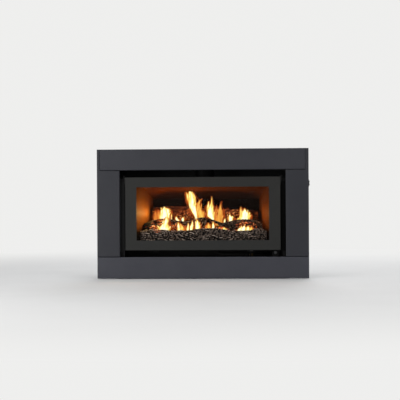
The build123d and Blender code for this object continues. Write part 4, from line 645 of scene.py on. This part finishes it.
coals, tree, shader = new_material("glowing_ember_chips")
speckle = noise_pattern(tree, 330, Detail=2.0)
warm = calculate(tree, "MULTIPLY", left_on_mesh(tree, "heat"), speckle)
dress(tree, shader, ramp(tree, speckle, (0.3, (0.03, 0.02, 0.018)), (0.7, (0.12, 0.07, 0.05))),
      grade(tree, speckle, 0.8, 0.95), speckle, 0.5, 0.0015)
tree.links.new(
    ramp(tree, warm, (0.12, (0.02, 0.0, 0.0)), (0.26, (0.55, 0.05, 0.005)), (0.45, (1.0, 0.28, 0.03))),
    shader.inputs["Emission Color"],
)
shader.inputs["Emission Strength"].default_value = 1.6
coals.cycles.emission_sampling = "NONE"
give(ember_chips, coals, "ember", "root", "ember_bed")
print("ember chips:", chip_rows * chip_columns)

# %% [markdown]
# A gas flame is a thin sheet of burning gas, brightest where one looks through most of it.
# A smoke simulation could make it, but would be slow and would not keep its place. Here each
# tongue starts as a copy of a plain closed tube. A few stations give the tongue's middle and
# half width on the way up, a smooth curve fills in between them, and each ring of the tube
# moves to its level. Two attributes say how far a point is from the tongue's edge and how
# high it is, and the material turns them into a white core, an orange rim and a tip that
# fades.

# %% Stations of the flames
# Two rows of flames: (distance from front to back, flames), and a flame is (name, heat,
# stations). A station is (x, z, half width) in tenths of a millimetre, matched against
# the photograph.
tenth = 0.0001
behind_middle_log, behind_front_log = 0.010, -0.074
flame_rows = [(behind_middle_log, [
    ("tall_flame", 1.0, [(-424, 2690, 47), (-466, 3054, 78), (-528, 3235, 119), (-586, 3422, 151),
      (-654, 3624, 183), (-690, 3785, 188), (-702, 3967, 190), (-712, 4117, 180), (-735, 4260, 160),
      (-790, 4420, 50)]),
    ("tall_flame_left_tongue", 0.62, [(-758, 3676, 106), (-836, 3987, 88), (-913, 4205, 57),
      (-1012, 4397, 8)]),
    ("tall_flame_right_tongue", 0.9, [(-632, 3728, 125), (-590, 4013, 109), (-601, 4195, 83),
      (-647, 4361, 16)]),
    ("tall_flame_veil", 0.42, [(-186, 2690, 125), (-206, 3028, 182), (-248, 3261, 171), (-305, 3469, 145),
      (-347, 3650, 104), (-331, 3769, 62), (-232, 3884, 29), (-134, 3987, 8)]),
    ("left_flame", 1.0, [(-2095, 2690, 156), (-2105, 2971, 254), (-2100, 3131, 265), (-2084, 3287, 254),
      (-2064, 3417, 213), (-2064, 3505, 135), (-2115, 3583, 21)]),
    ("left_flame_tongue", 0.7, [(-1944, 3209, 104), (-1903, 3365, 78), (-1872, 3500, 16)]),
    ("left_spark_flame", 0.22, [(-2510, 2794, 83), (-2530, 3002, 140), (-2541, 3157, 104), (-2567, 3313, 52),
      (-2577, 3437, 10)]),
    ("left_spark_tongue", 0.24, [(-2406, 2846, 52), (-2416, 3054, 73), (-2422, 3235, 47), (-2406, 3427, 10)]),
    ("sliver_flame", 0.6, [(-1742, 2846, 26), (-1737, 3054, 36), (-1721, 3230, 8)]),
    ("pair_flame_left", 0.95, [(-1394, 2742, 62), (-1415, 2867, 93), (-1462, 2950, 67), (-1477, 3043, 36),
      (-1467, 3126, 8)]),
    ("pair_flame_right", 0.95, [(-1171, 2794, 52), (-1161, 2888, 88), (-1135, 2971, 62), (-1088, 3059, 16)]),
    ("middle_flame", 1.0, [(437, 2690, 47), (385, 2919, 93), (302, 3080, 171), (280, 3261, 180),
      (285, 3443, 160), (325, 3624, 105), (352, 3806, 68), (366, 4110, 10)]),
    ("middle_flame_tongue", 0.75, [(216, 3313, 101), (180, 3520, 84), (180, 3676, 53), (196, 3847, 8)]),
    ("middle_flame_veil", 0.36, [(717, 2535, 93), (727, 2820, 197), (753, 3054, 156), (774, 3313, 119),
      (810, 3546, 62), (878, 3852, 10)]),
    ("middle_flame_haze", 0.28, [(572, 2535, 62), (582, 2846, 140), (572, 3105, 119), (577, 3365, 83),
      (608, 3635, 16)]),
    ("small_white_flame", 0.9, [(1002, 2716, 31), (1013, 2815, 57), (1033, 2898, 42), (1049, 2955, 8)]),
    ("low_flame", 0.95, [(1329, 2716, 62), (1324, 2867, 119), (1308, 2976, 130), (1277, 3074, 73),
      (1303, 3178, 13)]),
    ("right_flame", 1.0, [(2035, 2716, 156), (2040, 2929, 254), (2055, 3080, 249), (2060, 3235, 187),
      (2050, 3365, 93), (2035, 3494, 13)]),
    ("right_flame_left_tongue", 0.75, [(1889, 2950, 104), (1863, 3183, 93), (1853, 3365, 57),
      (1853, 3552, 10)]),
    ("right_flame_right_tongue", 0.75, [(2201, 2950, 104), (2237, 3131, 78), (2284, 3292, 13)]),
    ("right_flame_tail", 0.7, [(1734, 2794, 62), (1734, 2919, 93), (1770, 2991, 52), (1822, 3064, 10)]),
]), (behind_front_log, [
    ("left_lower_flame", 1.0, [(-2070, 2301, 256), (-2050, 2455, 307), (-2019, 2583, 230), (-1973, 2711, 133),
      (-1932, 2839, 107), (-1912, 2967, 102), (-1922, 3069, 46)]),
    ("crossing_flame_left", 0.95, [(-1272, 2301, 67), (-1277, 2429, 87), (-1293, 2557, 72), (-1313, 2685, 46),
      (-1333, 2813, 10)]),
    ("crossing_flame_right", 0.65, [(-1159, 2301, 82), (-1159, 2429, 102), (-1144, 2532, 82),
      (-1190, 2649, 51), (-1262, 2762, 15)]),
    ("trio_flame_left", 0.9, [(-837, 2353, 56), (-832, 2491, 72), (-811, 2608, 51), (-801, 2757, 10)]),
    ("trio_flame_middle", 0.95, [(-658, 2353, 61), (-648, 2506, 82), (-617, 2660, 67), (-591, 2885, 10)]),
    ("trio_flame_right", 1.0, [(-330, 2353, 97), (-330, 2506, 128), (-336, 2660, 113), (-356, 2813, 82),
      (-382, 2946, 20)]),
    ("under_branch_flame_left", 0.45, [(217, 2353, 67), (222, 2506, 92), (227, 2634, 77), (202, 2772, 15)]),
    ("under_branch_flame_right", 1.0, [(458, 2353, 56), (463, 2506, 82), (458, 2660, 67), (453, 2834, 13)]),
    ("fork_flame", 0.9, [(1082, 2250, 67), (1077, 2353, 97), (1041, 2445, 87), (1005, 2547, 15)]),
    ("right_lower_flame_1", 1.0, [(1737, 2199, 77), (1763, 2312, 118), (1819, 2414, 118), (1875, 2506, 61),
      (1906, 2588, 10)]),
    ("right_lower_flame_2", 0.95, [(1972, 2276, 102), (1993, 2394, 133), (2018, 2475, 107), (2049, 2568, 46),
      (2065, 2649, 10)]),
    ("right_lower_flame_3", 0.8, [(2198, 2301, 92), (2203, 2414, 118), (2228, 2506, 87), (2259, 2603, 15)]),
    ("right_lower_flame_4", 0.65, [(2361, 2301, 56), (2366, 2414, 82), (2397, 2496, 51), (2428, 2578, 10)]),
    ("red_glow_left", 0.34, [(205, 2280, 150), (200, 2430, 140), (180, 2580, 100), (190, 2680, 20)]),
    ("red_glow_right", 0.26, [(900, 2220, 260), (820, 2330, 240), (720, 2450, 160), (640, 2540, 30)]),
    ("red_glow_crossing", 0.3, [(-1130, 2301, 140), (-1120, 2450, 130), (-1160, 2600, 80), (-1190, 2700, 20)]),
])]
flames = [
    (name, depth, heat, [tuple(tenth * part for part in station) for station in stations])
    for depth, row in flame_rows for name, heat, stations in row
]
print("flames:", len(flames))

# %% [markdown]
# One clean outline would look like a leaf, so short licks stand along the edges of the broad
# tongues. Behind each tongue stands a faint red haze of burning gas, as a thin sheet. Both
# are made of stations too, the licks with the help of seeded chance.

# %% Licks and haze
def between(stations, t):
    """A smooth curve through the stations, t from 0 to 1."""
    span = t * (len(stations) - 1)
    i = min(int(span), len(stations) - 2)
    f = span - i
    a = Vector(stations[max(i - 1, 0)])
    b = Vector(stations[i])
    c = Vector(stations[i + 1])
    d = Vector(stations[min(i + 2, len(stations) - 1)])
    return 0.5 * (2 * b + (c - a) * f + (2 * a - 5 * b + 4 * c - d) * f * f
                  + (3 * b - a - 3 * c + d) * f * f * f)


def widest(stations):
    """The largest half width of a tongue."""
    return max(half for x, z, half in stations)


lick_chance = random.Random(23)
licks_each = 7
broad, faint = 0.012, 0.33
licks = []
for name, depth, heat, stations in flames:
    if heat < faint or widest(stations) < broad:
        continue
    tall = stations[-1][1] - stations[0][1]
    for number in range(licks_each):
        x, z, half = between(stations, lick_chance.uniform(0.12, 0.66))
        side = lick_chance.choice((-1, 1))
        x += side * half * 0.75
        lean = side * half * lick_chance.uniform(-0.1, 0.45)
        rise = tall * lick_chance.uniform(0.12, 0.24)
        width = half * lick_chance.uniform(0.14, 0.26)
        licks.append((f"{name}_lick_{number}", depth, heat * lick_chance.uniform(0.55, 0.85), [
            (x, z, width), (x + 0.5 * lean, z + 0.45 * rise, width * 1.1),
            (x + lean, z + 0.8 * rise, width * 0.6), (x + 1.2 * lean, z + rise, 0.0008),
        ]))

haze_behind, haze_heat = 0.004, 0.055
hazes = [
    (f"{name}_haze", depth + haze_behind, haze_heat, [(x, z, 1.35 * half + 0.0065) for x, z, half in stations])
    for name, depth, heat, stations in flames if widest(stations) > 0.006
]
print("licks:", len(licks), "hazes:", len(hazes))

# %% A plain tube that every tongue starts from
def plain_tube(levels, sides=16):
    """A closed tube, one unit wide to each side and one tall, with a ring at each level."""
    bm = bmesh.new()
    bmesh.ops.create_cone(bm, cap_ends=True, segments=sides, radius1=1.0, radius2=1.0, depth=1.0,
                          matrix=Matrix.Translation((0, 0, 0.5)))
    upright_edges = [e for e in bm.edges if abs(e.verts[0].co.z - e.verts[1].co.z) > 0.5]
    bmesh.ops.subdivide_edges(bm, edges=upright_edges, cuts=levels - 2)
    mesh = bpy.data.meshes.new(f"plain_tube_{levels}")
    bm.to_mesh(mesh)
    bm.free()
    return mesh


lick_levels, short_levels, tall_levels = 12, 18, 30
tubes = {levels: plain_tube(levels) for levels in (lick_levels, short_levels, tall_levels)}
print("tube faces:", {levels: len(tube.polygons) for levels, tube in tubes.items()})

# %% Shape the tongues
flame_flatness = 0.40
haze_flatness = 0.03
flame_halo = 1.24  # the tongue's orange outer rim, past its bright part
tip_taper = 0.42
thinnest = 0.0005
fire = bmesh.new()
middle_layer = fire.verts.layers.float.new("middle")
height_layer = fire.verts.layers.float.new("height")
strength_layer = fire.verts.layers.float.new("strength")
for number, (name, depth, heat, stations) in enumerate(flames + licks + hazes):
    flatness = haze_flatness if name.endswith("_haze") else flame_flatness
    levels = lick_levels if "_lick_" in name else short_levels if len(stations) < 6 else tall_levels
    first = len(fire.verts)
    fire.from_mesh(tubes[levels])
    fire.verts.ensure_lookup_table()
    for v in fire.verts[first:]:
        across, forward, t = v.co
        x, z, half = between(stations, t)
        half = max(half, thinnest) * flame_halo * (1 - tip_taper * smoothstep(0.55, 1.0, t))
        sway = 0.004 * sin(3.1 * number + 5.0 * t)
        v.co = (x + half * across, depth + sway + half * flatness * forward, z)
        v[middle_layer] = max(0.0, 1 - across * across)
        v[height_layer] = t
        v[strength_layer] = heat
flame_tongues = new_piece("flame_tongues", fire)
flame_tongues.data.shade_smooth()
print("flame faces:", len(flame_tongues.data.polygons))

# %% [markdown]
# The flame's surface gives out light and is clear at its edge, its foot and wherever streaks
# of noise cut into it. The streaks cut deeper the higher they are and the fainter the tongue
# is. What is left of the thickness picks the colour, from a red edge to a nearly white core.

# %% The flame's material
flame, tree, shader = new_material("gas_flame")
tree.nodes.remove(shader)
middle, height, strength = (left_on_mesh(tree, name) for name in ("middle", "height", "strength"))
flicker = noise_pattern(tree, 130, (1.0, 0.3, 0.17), Detail=3.0, Roughness=0.6)
cut_depth = calculate(tree, "ADD", grade(tree, height, 0.25, 0.95), grade(tree, strength, 0.45, 0.0))
streaks = calculate(tree, "MULTIPLY", grade(tree, flicker, 1.75, -1.35), cut_depth)
thick = calculate(tree, "SUBTRACT", middle, streaks)
tip = grade(tree, height, 1.0, 0.60, 0.45, 1.0, smooth=True)
core = calculate(tree, "MULTIPLY", calculate(tree, "MULTIPLY", thick, strength), tip)
flame_colour = ramp(tree, core, (0.04, (0.80, 0.13, 0.020)), (0.18, (1.0, 0.40, 0.060)),
                    (0.36, (1.0, 0.61, 0.105)), (0.54, (1.0, 0.84, 0.19)), (0.80, (1.0, 0.97, 0.66)))
light = add_node(tree, "Emission", flame_colour, grade(tree, core, 0.95, 1.6))
rim = grade(tree, thick, 0.0, 1.0, 0.02, 0.60, smooth=True)
foot = grade(tree, height, 0.08, 1.0, 0.0, 0.18, smooth=True)
solid = calculate(tree, "MULTIPLY", rim, foot)
solid = calculate(tree, "MULTIPLY", solid, calculate(tree, "POWER", strength, 0.5))
solid = calculate(tree, "MULTIPLY", solid, 0.92)
blend_surface(tree, solid, add_node(tree, "BsdfTransparent"), light)
flame.cycles.emission_sampling = "NONE"
bpy.context.scene.cycles.transparent_max_bounces = 32  # many thin tongues stand behind each other
give(flame_tongues, flame, "ember")
print("flame material ready")

# %% [markdown]
# The window is ceramic glass, which is as clear as window glass and slightly warm in
# tint. A full glass shader would keep the studio's lamps out of the firebox, so the pane is
# a glossy skin at a low opacity: it keeps its reflections, and light passes as it does
# through a thin pane. A woven rope of glass fibre seals it.

# %% Glass and its seals
glass, tree, shader = new_material("clear_ceramic_glass")
smears = noise_pattern(tree, 5, Detail=3.0)
dress(tree, shader, ramp(tree, smears, (0.3, (0.015, 0.014, 0.012)), (0.7, (0.030, 0.028, 0.025))),
      grade(tree, smears, 0.03, 0.07), smears, 0.02, 0.001)
shader.inputs["Alpha"].default_value = 0.045
shader.inputs["IOR"].default_value = 1.5
coat(glass, "window_glass")

rope, tree, shader = new_material("woven_glass_fibre_rope")
weave = pattern(tree, "Wave", 300, Distortion=1.5, Detail=1.0)
weave.bands_direction = "DIAGONAL"
strands = weave.outputs["Fac"]
lint = noise_pattern(tree, 500, Detail=2.0)
dress(tree, shader, ramp(tree, strands, (0.2, (0.06, 0.06, 0.058)), (0.8, (0.16, 0.16, 0.155))),
      grade(tree, lint, 0.85, 1.0), strands, 0.6, 0.001)
shader.inputs["Sheen Weight"].default_value = 0.3
coat(rope, "window_seal", "glass_gasket")
print("glass and seals finished")

# %% [markdown]
# The small working parts each show the way they were made. Bar and tube keep the fine
# lines of drawing or turning, castings are dull and pebbled, moulded plastic has an even
# spark-eroded grain, and insulators are glazed. The same helper serves most of them, with
# the grain stretched along the way that the metal was drawn.

# %% Metal parts
drawn_lines, turned_lines = (0.05, 1, 1), (0.08, 1, 1)
drawn_steel = sheet_finish("bright_drawn_steel", (0.46, 0.46, 0.47), (0.60, 0.60, 0.61), (0.22, 0.36),
                           900, (0.06, 1, 1), metal=1.0, bump=0.12, patch=30)
coat(drawn_steel, "panel_studs", "catch_studs", "spring_clips", "glass_clips")
coat(sheet_finish("grey_tube_steel", (0.34, 0.34, 0.345), (0.44, 0.44, 0.45), (0.30, 0.45),
                  700, drawn_lines, metal=1.0, bump=0.12, patch=22), "pilot_burner")
coat(sheet_finish("dark_oxidised_tube", (0.006, 0.006, 0.006), (0.012, 0.011, 0.010), (0.5, 0.65),
                  700, drawn_lines, bump=0.12, patch=22, specular=0.2),
     "burner_pipe", "pilot_pipe", "hinge_pins", "burner_tube", "air_shutter")
coat(sheet_finish("turned_brass", (0.62, 0.42, 0.15), (0.74, 0.53, 0.22), (0.24, 0.36),
                  800, turned_lines, metal=1.0, bump=0.1, patch=60), "gas_inlet")
coat(sheet_finish("heat_dulled_brass", (0.10, 0.065, 0.030), (0.16, 0.105, 0.045), (0.45, 0.6),
                  800, turned_lines, metal=0.6, bump=0.1, patch=60), "injector")
coat(sheet_finish("cast_alloy_body", (0.42, 0.425, 0.43), (0.52, 0.525, 0.53), (0.45, 0.6),
                  650, metal=0.9, bump=0.45, patch=45), "gas_valve", "fan_motor")
coat(sheet_finish("rolled_fan_aluminium", (0.50, 0.51, 0.52), (0.58, 0.59, 0.60), (0.30, 0.42),
                  600, (0.1, 1, 1), metal=1.0, bump=0.1, patch=25), "fan_impeller")
print("metal parts finished")

# %% Plastic, rubber, ceramic and painted parts
coat(sheet_finish("grained_black_plastic", (0.011, 0.011, 0.012), (0.017, 0.017, 0.018), (0.42, 0.52),
                  1500, bump=0.3, patch=20),
     "control_knob", "igniter_body", "igniter_button", "rocker", "switch_body")
coat(sheet_finish("black_bearing_rubber", (0.012, 0.012, 0.012), (0.02, 0.02, 0.02), (0.7, 0.85),
                  900, bump=0.2, patch=40), "fan_bearings")
coat(sheet_finish("glazed_white_insulator", (0.76, 0.74, 0.69), (0.84, 0.82, 0.78), (0.15, 0.28),
                  300, bump=0.08, patch=50), "spark_electrode", "flame_sensor")
coat(sheet_finish("grey_control_box_paint", (0.055, 0.056, 0.058), (0.07, 0.071, 0.073), (0.4, 0.5),
                  1000, bump=0.12, patch=12), "control_box")
print("materials so far:", len(bpy.data.materials))

# %% [markdown]
# Black strips close the fine joints between the fascia panels from behind, so that no light
# comes through them: painted shade. In a joint 1.5 mm wide only a dark line
# shows. Each strip is a long bar with rounded edges, a little thinner than its joint and
# set back from the face. The upright joints at the ends of the top panel read as a light
# line, so a lighter charcoal strip fills them almost to the face: a painted highlight.

# %% Painted shade and painted highlight in the fascia's joints
def strip(bm, low, high):
    """A bar between two corners, with its edges rounded."""
    size = high - low
    made = bmesh.ops.create_cube(
        bm, size=1.0, matrix=Matrix.Translation((low + high) / 2) @ Matrix.Diagonal((*size, 1.0)))
    edges = list({e for v in made["verts"] for e in v.link_edges})
    bmesh.ops.bevel(bm, geom=edges, offset=min(size) * 0.3, segments=2, affect="EDGES", profile=0.5, material=-1)


panel_low, panel_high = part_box("fascia_top")
stile_low, stile_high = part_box("fascia_right")
lower_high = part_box("fascia_bottom")[1]
joint_width = 0.0015
slack = 0.0001
edge_gap = 0.001
shade_strip_front = stile_low.y + 0.004
highlight_front = stile_low.y + 0.0006
strip_back = stile_high.y - edge_gap
highlight_x = (panel_high.x + slack, panel_high.x + joint_width - slack)
under_panel = (panel_low.z - joint_width + slack, panel_low.z - slack)
over_lower = (lower_high.z + slack, stile_low.z - slack)
shade_strips = bmesh.new()
highlight_strips = bmesh.new()


def fill_joint(bm, side, span_x, front, span_z):
    """A strip in one of the fascia's joints; side is -1 for the left half of the fascia."""
    left, right = sorted(side * x for x in span_x)
    strip(bm, Vector((left, front, span_z[0])), Vector((right, strip_back, span_z[1])))


for side in (-1, 1):
    fill_joint(highlight_strips, side, highlight_x, highlight_front, (under_panel[0], stile_high.z - edge_gap))
    fill_joint(shade_strips, side, (stile_low.x, panel_high.x), shade_strip_front, under_panel)
    fill_joint(shade_strips, side, (stile_low.x, stile_high.x - edge_gap), shade_strip_front, over_lower)
for bm in (shade_strips, highlight_strips):
    bmesh.ops.recalc_face_normals(bm, faces=bm.faces)
joint_shade_strips = new_piece("joint_shade_strips", shade_strips)
painted_edge_highlights = new_piece("painted_edge_highlights", highlight_strips)
# Black strips: painted shade in the joints.
shade_strip_coat = sheet_finish("black_joint_shade_strip", (0.004, 0.004, 0.004), (0.008, 0.008, 0.008), (0.85, 0.95), 1200,
                    bump=0.4, patch=60, specular=0.1)
# Lighter strips in the upright joints: a painted highlight.
highlight_coat = sheet_finish("charcoal_painted_edge_highlight", (0.062, 0.063, 0.074), (0.078, 0.079, 0.092), (0.6, 0.7), 1200,
                         bump=0.3, patch=60, specular=0.2)
give(joint_shade_strips, shade_strip_coat, "black_plastic")
give(painted_edge_highlights, highlight_coat, "black_plastic")
print("joint tapes:", len(joint_shade_strips.data.polygons), "faces, edge trims:", len(painted_edge_highlights.data.polygons))

# %% [markdown]
# The casing is screwed together from folded sheets with small pan-head screws. They are
# standard parts, so one function makes a head and it is repeated where the folds overlap. A
# disc is raised, its top is inset three times and lifted a little less each time, which
# rounds it, and a last inset is pressed in for the driver.

# %% Screws of the casing
head_radius, head_height = 0.0042, 0.0024


def screw_head(bm, place, outward):
    """A pan head with a recess for the driver, standing on a sheet."""
    turn_to = outward.to_track_quat("Z", "Y").to_matrix().to_4x4()
    disc = bmesh.ops.create_circle(bm, cap_ends=True, segments=20, radius=head_radius,
                                   matrix=Matrix.Translation(place) @ turn_to)
    face = next(f for f in disc["verts"][0].link_faces)
    normal = turn_to.to_3x3() @ Vector((0, 0, 1))
    body = bmesh.ops.extrude_face_region(bm, geom=[face])
    top = [g for g in body["geom"] if isinstance(g, bmesh.types.BMVert)]
    bmesh.ops.translate(bm, verts=top, vec=normal * head_height * 0.6)
    cap = next(g for g in body["geom"] if isinstance(g, bmesh.types.BMFace))
    for inset, rise in ((0.18, 0.24), (0.22, 0.12), (0.22, 0.04), (0.12, -0.45)):
        bmesh.ops.inset_region(bm, faces=[cap], thickness=head_radius * inset, depth=0.0)
        bmesh.ops.translate(bm, verts=cap.verts, vec=normal * head_height * rise)


side_low, side_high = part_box("casing_left")
right_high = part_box("casing_right")[1]
screw_y = side_high.y - 0.014
screw_places = [(screw_y, z) for z in (0.05, 0.20, 0.35, 0.50)] + [(y, 0.565) for y in (-0.15, -0.03, 0.09)]
screws = bmesh.new()
for y, z in screw_places:
    screw_head(screws, Vector((side_low.x, y, z)), Vector((-1, 0, 0)))
    screw_head(screws, Vector((right_high.x, y, z)), Vector((1, 0, 0)))
bmesh.ops.recalc_face_normals(screws, faces=screws.faces)
give(new_piece("casing_screws", screws), drawn_steel, "bright_steel")
print("screws:", 2 * len(screw_places))

# %% [markdown]
# The floor is pale and plain, so that the dark object stands out, and it keeps the object's
# soft shadow. It is a wide disc that isn't part of the object. Far out, where the camera
# would see its shading change, it fades into the even tone of the backdrop.

# %% Floor of the studio
floor_bm = bmesh.new()
bmesh.ops.create_circle(floor_bm, cap_ends=True, segments=96, radius=30.0,
                        matrix=Matrix.Translation((0, 0, cad_low.z - 0.0005)))
floor = new_piece("studio_floor", floor_bm)
floor_paint, tree, shader = new_material("pale_studio_floor")
blotch = noise_pattern(tree, 3, Detail=2.0)
dress(tree, shader, ramp(tree, blotch, (0.3, (0.74, 0.74, 0.735)), (0.7, (0.77, 0.77, 0.765))),
      grade(tree, blotch, 0.7, 0.8), blotch, 0.05, 0.001)
place = add_node(tree, "TexCoord").outputs["Object"]
far = add_node(tree, "VectorMath", place, operation="LENGTH").outputs["Value"]
fade_out = grade(tree, far, 0.0, 1.0, 0.9, 3.2, smooth=True)
share = calculate(tree, "MULTIPLY", fade_out, add_node(tree, "LightPath").outputs["Is Camera Ray"])
blend_surface(tree, share, shader, add_node(tree, "Emission", pale_backdrop))
floor.data.materials.append(floor_paint)
print("floor at z", round(cad_low.z, 4))

# %% [markdown]
# Last, the script lists every CAD node that has no finish.

# %% Check and finish
bare = [name for name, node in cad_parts.items() if not node.data.materials
        or not node.data.materials[0].use_nodes]
print("nodes without a finish:", bare)
